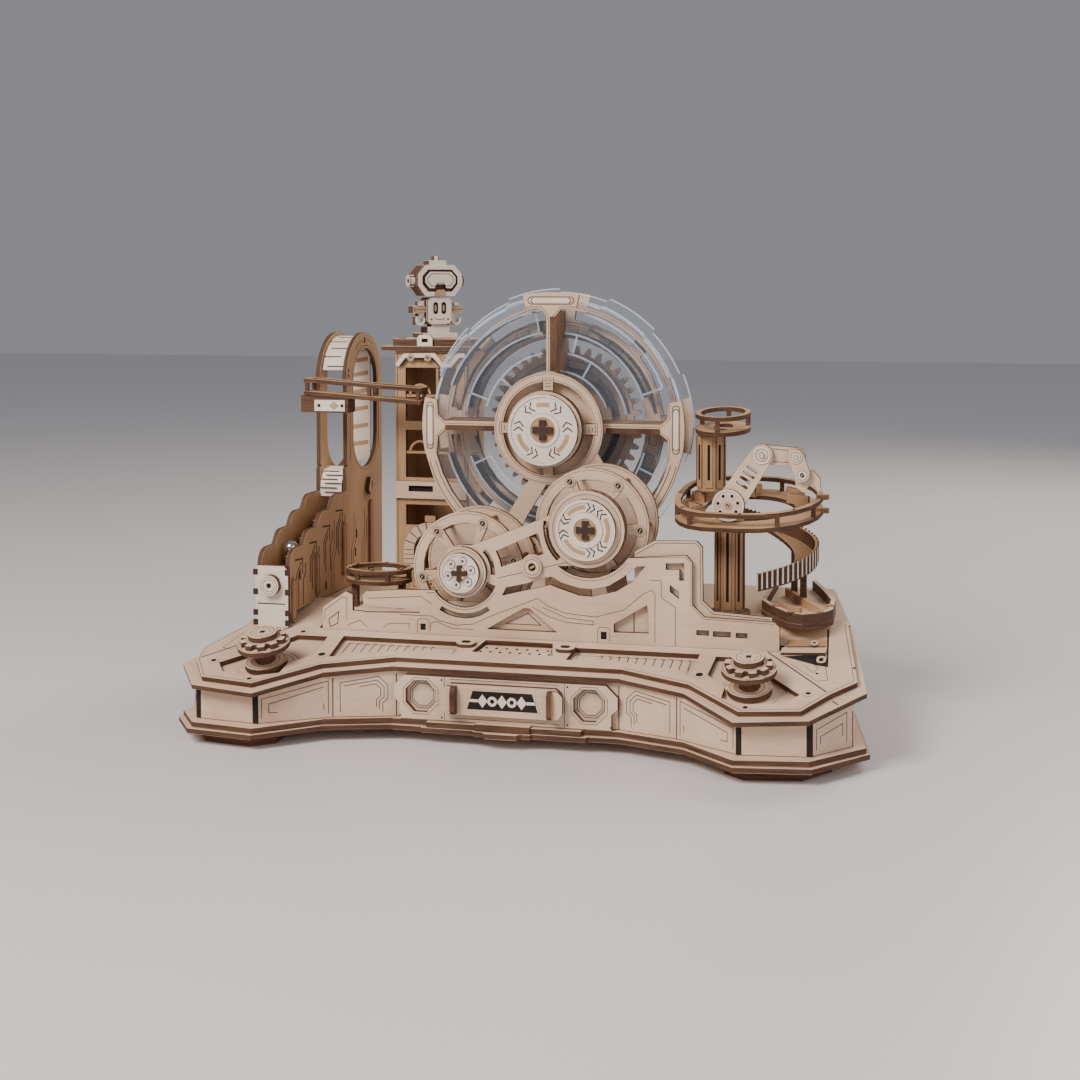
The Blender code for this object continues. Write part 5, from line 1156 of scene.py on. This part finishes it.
def robot():
    spin = Matrix.Rotation(math.radians(ROBOT_YAW), 3, "Z")
    axis, across, forward = point(-75.5, 131.0, 0.0), spin @ X, spin @ -Y

    def facing(depth):
        return Sheet(axis + forward * depth * MM, across, Z, forward)

    head = facing(5.3)
    outline = [
        (-13.1, 218.9), (-8.75, 213.1), (8.75, 213.1), (13.1, 218.9), (13.1, 224.9), (8.75, 230.0),
        (-8.75, 230.0), (-13.1, 224.9)
    ]
    inner = [(0.8 * u, 221.5 + 0.72 * (v - 221.5)) for u, v in outline]
    solid(BASE, head, [outline, inner], 1.5, face=M_WHITE, edge=M_EDGE)
    solid(BASE, head, [inner], 0.1, face=M_EDGE, edge=M_EDGE)
    visor = [
        (-9.0, 220.4), (-6.4, 217.4), (-3.6, 217.4), (-2.2, 219.6), (2.2, 219.6), (3.6, 217.4),
        (6.4, 217.4), (9.0, 220.4), (9.0, 223.4), (6.2, 226.4), (-6.2, 226.4), (-9.0, 223.4)
    ]
    solid(BASE, head, [visor], 2.2, face=M_WHITE, edge=M_EDGE)
    line(BASE, head, [(u * 0.84, (v - 222.0) * 0.74 + 222.0) for u, v in visor], 0.35, True, 2.26)
    solid(
        BASE, head, [[(-3.4, 213.4), (3.4, 213.4), (2.2, 216.6), (-2.2, 216.6)]], 2.2, face=M_TAN_AND_WARM_LIGHT,
        edge=M_EDGE
    )
    for s in (-1, 1):
        ear = Sheet(axis + across * s * 15.5 * MM, spin @ Y, Z, across * s)
        solid(BASE, ear, ring((0.0, 221.4), 1.4, 3.3, 24), 0.5, face=M_WHITE, edge=M_EDGE)
        line(BASE, ear, disc((0.0, 221.4), 2.5, 20), 0.3, True, 0.55)
        solid(BASE, ear, [disc((0.0, 221.4), 1.1, 10)], 0.3, face=M_DARK_WOOD_AND_SHADE, edge=M_DARK_WOOD_AND_SHADE)
    chest = facing(5.0)
    frame_out = [
        (-7.0, 199.6), (-5.3, 197.9), (5.3, 197.9), (7.0, 199.6), (7.0, 210.4), (5.3, 212.2),
        (-5.3, 212.2), (-7.0, 210.4)
    ]
    ovals = [slot((u, 204.6), (u, 208.4), 1.45, 6) for u in (-2.4, 2.4)]
    solid(BASE, chest, [frame_out] + ovals, 1.3, face=M_WHITE, edge=M_EDGE)
    for u, oval in zip((-2.4, 2.4), ovals):
        solid(BASE, chest, [oval], 0.1, face=M_DARK_WOOD_AND_SHADE, edge=M_DARK_WOOD_AND_SHADE)
        solid(BASE, chest, [slot((u, 205.2), (u, 207.8), 0.55, 4)], 1.0, face=M_TAN_AND_WARM_LIGHT, edge=M_EDGE)
    for u in (-4.9, 4.9):
        solid(BASE, chest, [disc((u, 200.4), 0.55, 8)], 1.38, face=M_DARK_WOOD_AND_SHADE, edge=M_DARK_WOOD_AND_SHADE)
    line(BASE, chest, [(-3.0, 201.0), (-1.5, 200.2), (1.5, 200.2), (3.0, 201.0)], 0.35, False, 1.36)
    for s in (-1, 1):
        hand = facing(3.4)
        c = s * 10.8
        solid(
            BASE, hand, [arc((c, 206.0), 3.6, 60, 120, 5) + arc((c, 206.0), 2.0, 120, 60, 5)], 1.0,
            face=M_WHITE, edge=M_EDGE
        )
        solid(
            BASE, hand, [arc((c, 200.0), 3.0, 150, 390, 12) + arc((c, 200.0), 1.5, 390, 150, 12)], 1.0,
            face=M_WHITE, edge=M_EDGE
        )
        solid(BASE, hand, [box2(c - 3.2, 204.4, c + 3.2, 207.2)], 1.4, face=M_TAN_AND_WARM_LIGHT, edge=M_EDGE)
        line(BASE, hand, [(c - 3.0, 205.8), (c + 3.0, 205.8)], 0.3, False, 1.45)


def tracks():
    # Zigzag obstacles and pegs on the mid track's floor, tilted with it.
    a = math.radians(8.0)
    tilt_v = Vector((0.0, math.cos(a), math.sin(a)))
    tilt_n = Vector((0.0, -math.sin(a), math.cos(a)))
    floor = Sheet(point(105.2, 92.0, 106.4), X, tilt_v, tilt_n)
    zig = [
        [(16, 26), (24, 20), (19, 12), (29, 8)], [(2, 30), (-6, 26), (0, 21)],
        [(-22, 20), (-30, 12), (-24, 8)], [(-29, -8), (-22, -14), (-26, -20)]
    ]
    for pts in zig:
        line(BASE, floor, pts, 2.4, False, 4.6, M_TAN_AND_WARM_LIGHT)
        line(BASE, floor, pts, 0.9, False, 4.7, M_LINE)
    guard = Sheet(point(105.2, 92.0, 113.2), X, tilt_v, tilt_n)
    for k in range(24):
        t = 15 * k
        u, v = math.cos(math.radians(t)), math.sin(math.radians(t))
        p = (35.4 * u, 36.4 * v) if u >= 0 else (
            -35.4 * math.sqrt(-u), math.copysign(36.4 * abs(v) ** 0.8, v)
        )
        if k % 3 == 0:
            solid(
                BASE, guard, [turn(box2(-1.1, -0.8, 1.1, 0.8), p, t)], 0.06, face=M_DARK_WOOD_AND_SHADE, edge=M_DARK_WOOD_AND_SHADE
            )
    # End tabs on the rails.
    for x, y, z in ((142.0, 92.0, 113.4), (142.0, 92.0, 106.6)):
        solid(
            BASE, top(z),
            [[(x - 3.0, y - 3.4), (x + 3.0, y - 2.2), (x + 3.0, y + 2.2), (x - 3.0, y + 3.4)]], 0.8, 1.6,
            face=M_TAN_AND_WARM_LIGHT, edge=M_WARM_LIT_EDGE
        )
    # Columns: strips with slots on every visible side.
    for cx, cy, z0, z1, r in ((95.6, 88.0, 56.0, 99.0, 7.1), (84.5, 97.0, 116.0, 142.0, 6.9)):
        for k in range(8):
            ang = math.radians(45 * k)
            n = Vector((math.cos(ang), math.sin(ang), 0))
            u = Vector((-math.sin(ang), math.cos(ang), 0))
            sheet = Sheet(point(cx, cy, 0) + n * (r * MM), u, Z, n)
            solid(
                BASE, sheet, [box2(-1.9, z0, 1.9, z1), box2(-0.7, z0 + 4.0, 0.7, z1 - 4.0)], 0.5, 0.3,
                face=M_TAN_AND_WARM_LIGHT_Z, edge=M_EDGE
            )
            solid(
                BASE, sheet, [box2(-0.7, z0 + 4.0, 0.7, z1 - 4.0)], 0.05, 0.3, face=M_DARK_WOOD_AND_SHADE,
                edge=M_DARK_WOOD_AND_SHADE
            )
    # Comb on the spiral ramp's wall.
    cx, cy = 118.0, 100.0
    for i in range(40):
        t = i / 39.0
        ang = math.radians(165.0 - 275.0 * t)
        z = 96.0 - 30.0 * t
        n = Vector((math.cos(ang), math.sin(ang), 0))
        u = Vector((-math.sin(ang), math.cos(ang), 0))
        sheet = Sheet(point(cx, cy, 0) + n * (21.0 * MM), u, Z, n)
        solid(BASE, sheet, [box2(-0.45, z + 0.8, 0.45, z + 9.6)], 0.35, 0.3, face=M_WHITE, edge=M_EDGE)
        line(BASE, sheet, [(1.0, z + 1.6), (1.0, z + 8.4)], 0.4, False, 0.06)
    # Tray: raised guide walls and pegs on its rim.
    floor = top(57.5)
    line(BASE, floor, [(121.5, 80.0), (127.6, 70.0), (134.0, 66.0)], 2.0, False, 4.2, M_TAN_AND_WARM_LIGHT)
    line(
        BASE, floor, [(121.0, 118.0), (136.0, 84.0), (143.0, 71.0), (145.0, 60.0)], 2.0, False, 4.2, M_TAN_AND_WARM_LIGHT
    )
    for p in ((148.2, 70.0), (121.6, 64.2), (144.6, 53.0), (131.0, 50.2)):
        peg(BASE, top(62.5), p, 0.9, 2.0, 0.6)
    # Rails of the left loop.
    loop = top(73.6)
    for k in range(6):
        p = (
            -84.0 + 16.2 * math.cos(math.radians(60 * k + 30)),
            66.0 + 10.8 * math.sin(math.radians(60 * k + 30))
        )
        solid(BASE, loop, [disc(p, 1.0, 10)], 0.5, face=M_TAN_AND_WARM_LIGHT, edge=M_EDGE)
    rail = front(93.0)
    for x in (-130.0, -112.0, -92.0, -78.0):
        z = 169.0 + (x + 137.0) * (-4.5 / 66.5)
        line(BASE, rail, [(x, z - 1.1), (x + 9.0, z - 1.1 - 0.6)], 0.5, False, 0.05, M_LINE)
    # Box wall under the tray, seen between the fascia and the wing.
    wall = front(74.8)
    solid(BASE, wall, [box2(104.0, 52.4, 112.0, 54.6)], 0.6, face=M_TAN_AND_WARM_LIGHT, edge=M_EDGE)


def arm():
    for group, c, y, r, holes in (
        (ARM1, (98.3, 111.0), 64.1, 7.9, 7), (ARM1, (114.6, 135.9), 66.5, 5.0, 0),
        (ARM2, (131.2, 135.3), 69.3, 4.2, 0), (ARM3, (134.4, 126.5), 66.5, 3.6, 0),
        (ARM3, (131.2, 135.3), 66.5, 3.8, 0)
    ):
        sheet = front(y)
        if holes:
            solid(group, sheet, ring(c, r - 0.9, r, 32), 0.35, face=M_WHITE, edge=M_WARM_LIT_EDGE)
            for k in range(holes):
                p = turn([(5.0, 0)], c, 51.43 * k + 15)[0]
                solid(group, sheet, ring(p, 0.9, 1.5, 14), 0.3, face=M_WHITE, edge=M_WARM_LIT_EDGE)
                solid(group, sheet, [disc(p, 0.9, 10)], 0.1, face=M_DARK_WOOD_AND_SHADE, edge=M_DARK_WOOD_AND_SHADE)
            peg(group, sheet, c, 1.0, 2.0, 0.4)
        else:
            solid(group, sheet, ring(c, 1.2, r - 0.6, 28), 0.6, face=M_WHITE, edge=M_WARM_LIT_EDGE)
            line(group, sheet, disc(c, (r + 1.2) / 2, 22), 0.3, True, 0.65)
            solid(group, sheet, [disc(c, 1.1, 12)], 0.3, face=M_DARK_WOOD_AND_SHADE, edge=M_DARK_WOOD_AND_SHADE)
            solid(group, sheet, [turn(box2(-0.9, -0.3, 0.9, 0.3), c, 40)], 0.5, face=M_TAN_AND_WARM_LIGHT)
    line(ARM2, front(69.3), [(119.6, 132.6), (127.4, 132.2)], 0.3)
    line(ARM2, front(69.3), [(119.6, 138.8), (127.4, 138.2)], 0.3)


def ball():
    bm = bmesh.new()
    bmesh.ops.create_icosphere(bm, subdivisions=4, radius=4.0 * MM)
    low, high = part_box("steel_ball")
    centre = (Vector(low) + Vector(high)) / 2
    for v in bm.verts:
        v.co += centre
    for f in bm.faces:
        f.smooth = True
    mesh = bpy.data.meshes.new("polished_ball")
    bm.to_mesh(mesh)
    bm.free()
    mesh.materials.append(STEEL)
    made = bpy.data.objects.new("polished_ball", mesh)
    bpy.context.scene.collection.objects.link(made)
    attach(made, "stair_lift")
    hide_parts("steel_ball")


for draw in (
    dials, cage_wheels, maze_wheel, fascia, walls, deck, knobs, stairs, tower, robot, tracks, arm, ball
):
    draw()
for group in list(Group.made.values()):
    group.finish()


# ---------------------------------------------------------------- stage, light and camera


def studio():
    mesh = bpy.data.meshes.new("floor")
    s = 4.0
    mesh.from_pydata([(-s, -s, 0), (s, -s, 0), (s, s, 0), (-s, s, 0)], [], [(0, 1, 2, 3)])
    floor = bpy.data.objects.new("floor", mesh)
    bpy.context.scene.collection.objects.link(floor)
    paint, nodes, links, shader = new_material("pale_floor")
    shader.inputs["Base Color"].default_value = (0.74, 0.72, 0.72, 1.0)
    shader.inputs["Roughness"].default_value = 0.32
    mesh.materials.append(paint)

    world = bpy.data.worlds.new("studio")
    world.use_nodes = True
    world.node_tree.nodes["Background"].inputs["Color"].default_value = (0.80, 0.80, 0.86, 1.0)
    world.node_tree.nodes["Background"].inputs["Strength"].default_value = 0.32
    bpy.context.scene.world = world

    for name, where, size, power, colour in (
        ("key", (-0.55, -0.95, 1.05), 0.6, 24.0, (1.0, 0.93, 0.87)),
        ("fill", (0.95, -0.75, 0.55), 0.9, 5.0, (0.93, 0.93, 1.0)),
        ("rim", (0.5, 0.9, 0.8), 0.6, 8.0, (1.0, 0.88, 0.74)),
    ):
        light = bpy.data.lights.new(name, "AREA")
        light.size = size
        light.energy = power
        light.color = colour
        made = bpy.data.objects.new(name, light)
        made.location = where
        aim = Vector((0.0, 0.0, 0.1)) - Vector(where)
        made.rotation_euler = aim.to_track_quat("-Z", "Y").to_euler()
        bpy.context.scene.collection.objects.link(made)


def camera():
    lens = bpy.data.cameras.new("camera")
    lens.sensor_width = 36.0
    lens.lens = 54.57
    lens.shift_x = -0.062
    lens.shift_y = -0.183
    lens.clip_start = 0.01
    made = bpy.data.objects.new("camera", lens)
    made.location = (0.21665, -0.8032, 0.2181)
    made.rotation_euler = (math.radians(90.0 - 1.94), 0.0, math.radians(13.04))
    bpy.context.scene.collection.objects.link(made)
    bpy.context.scene.camera = made


studio()
camera()
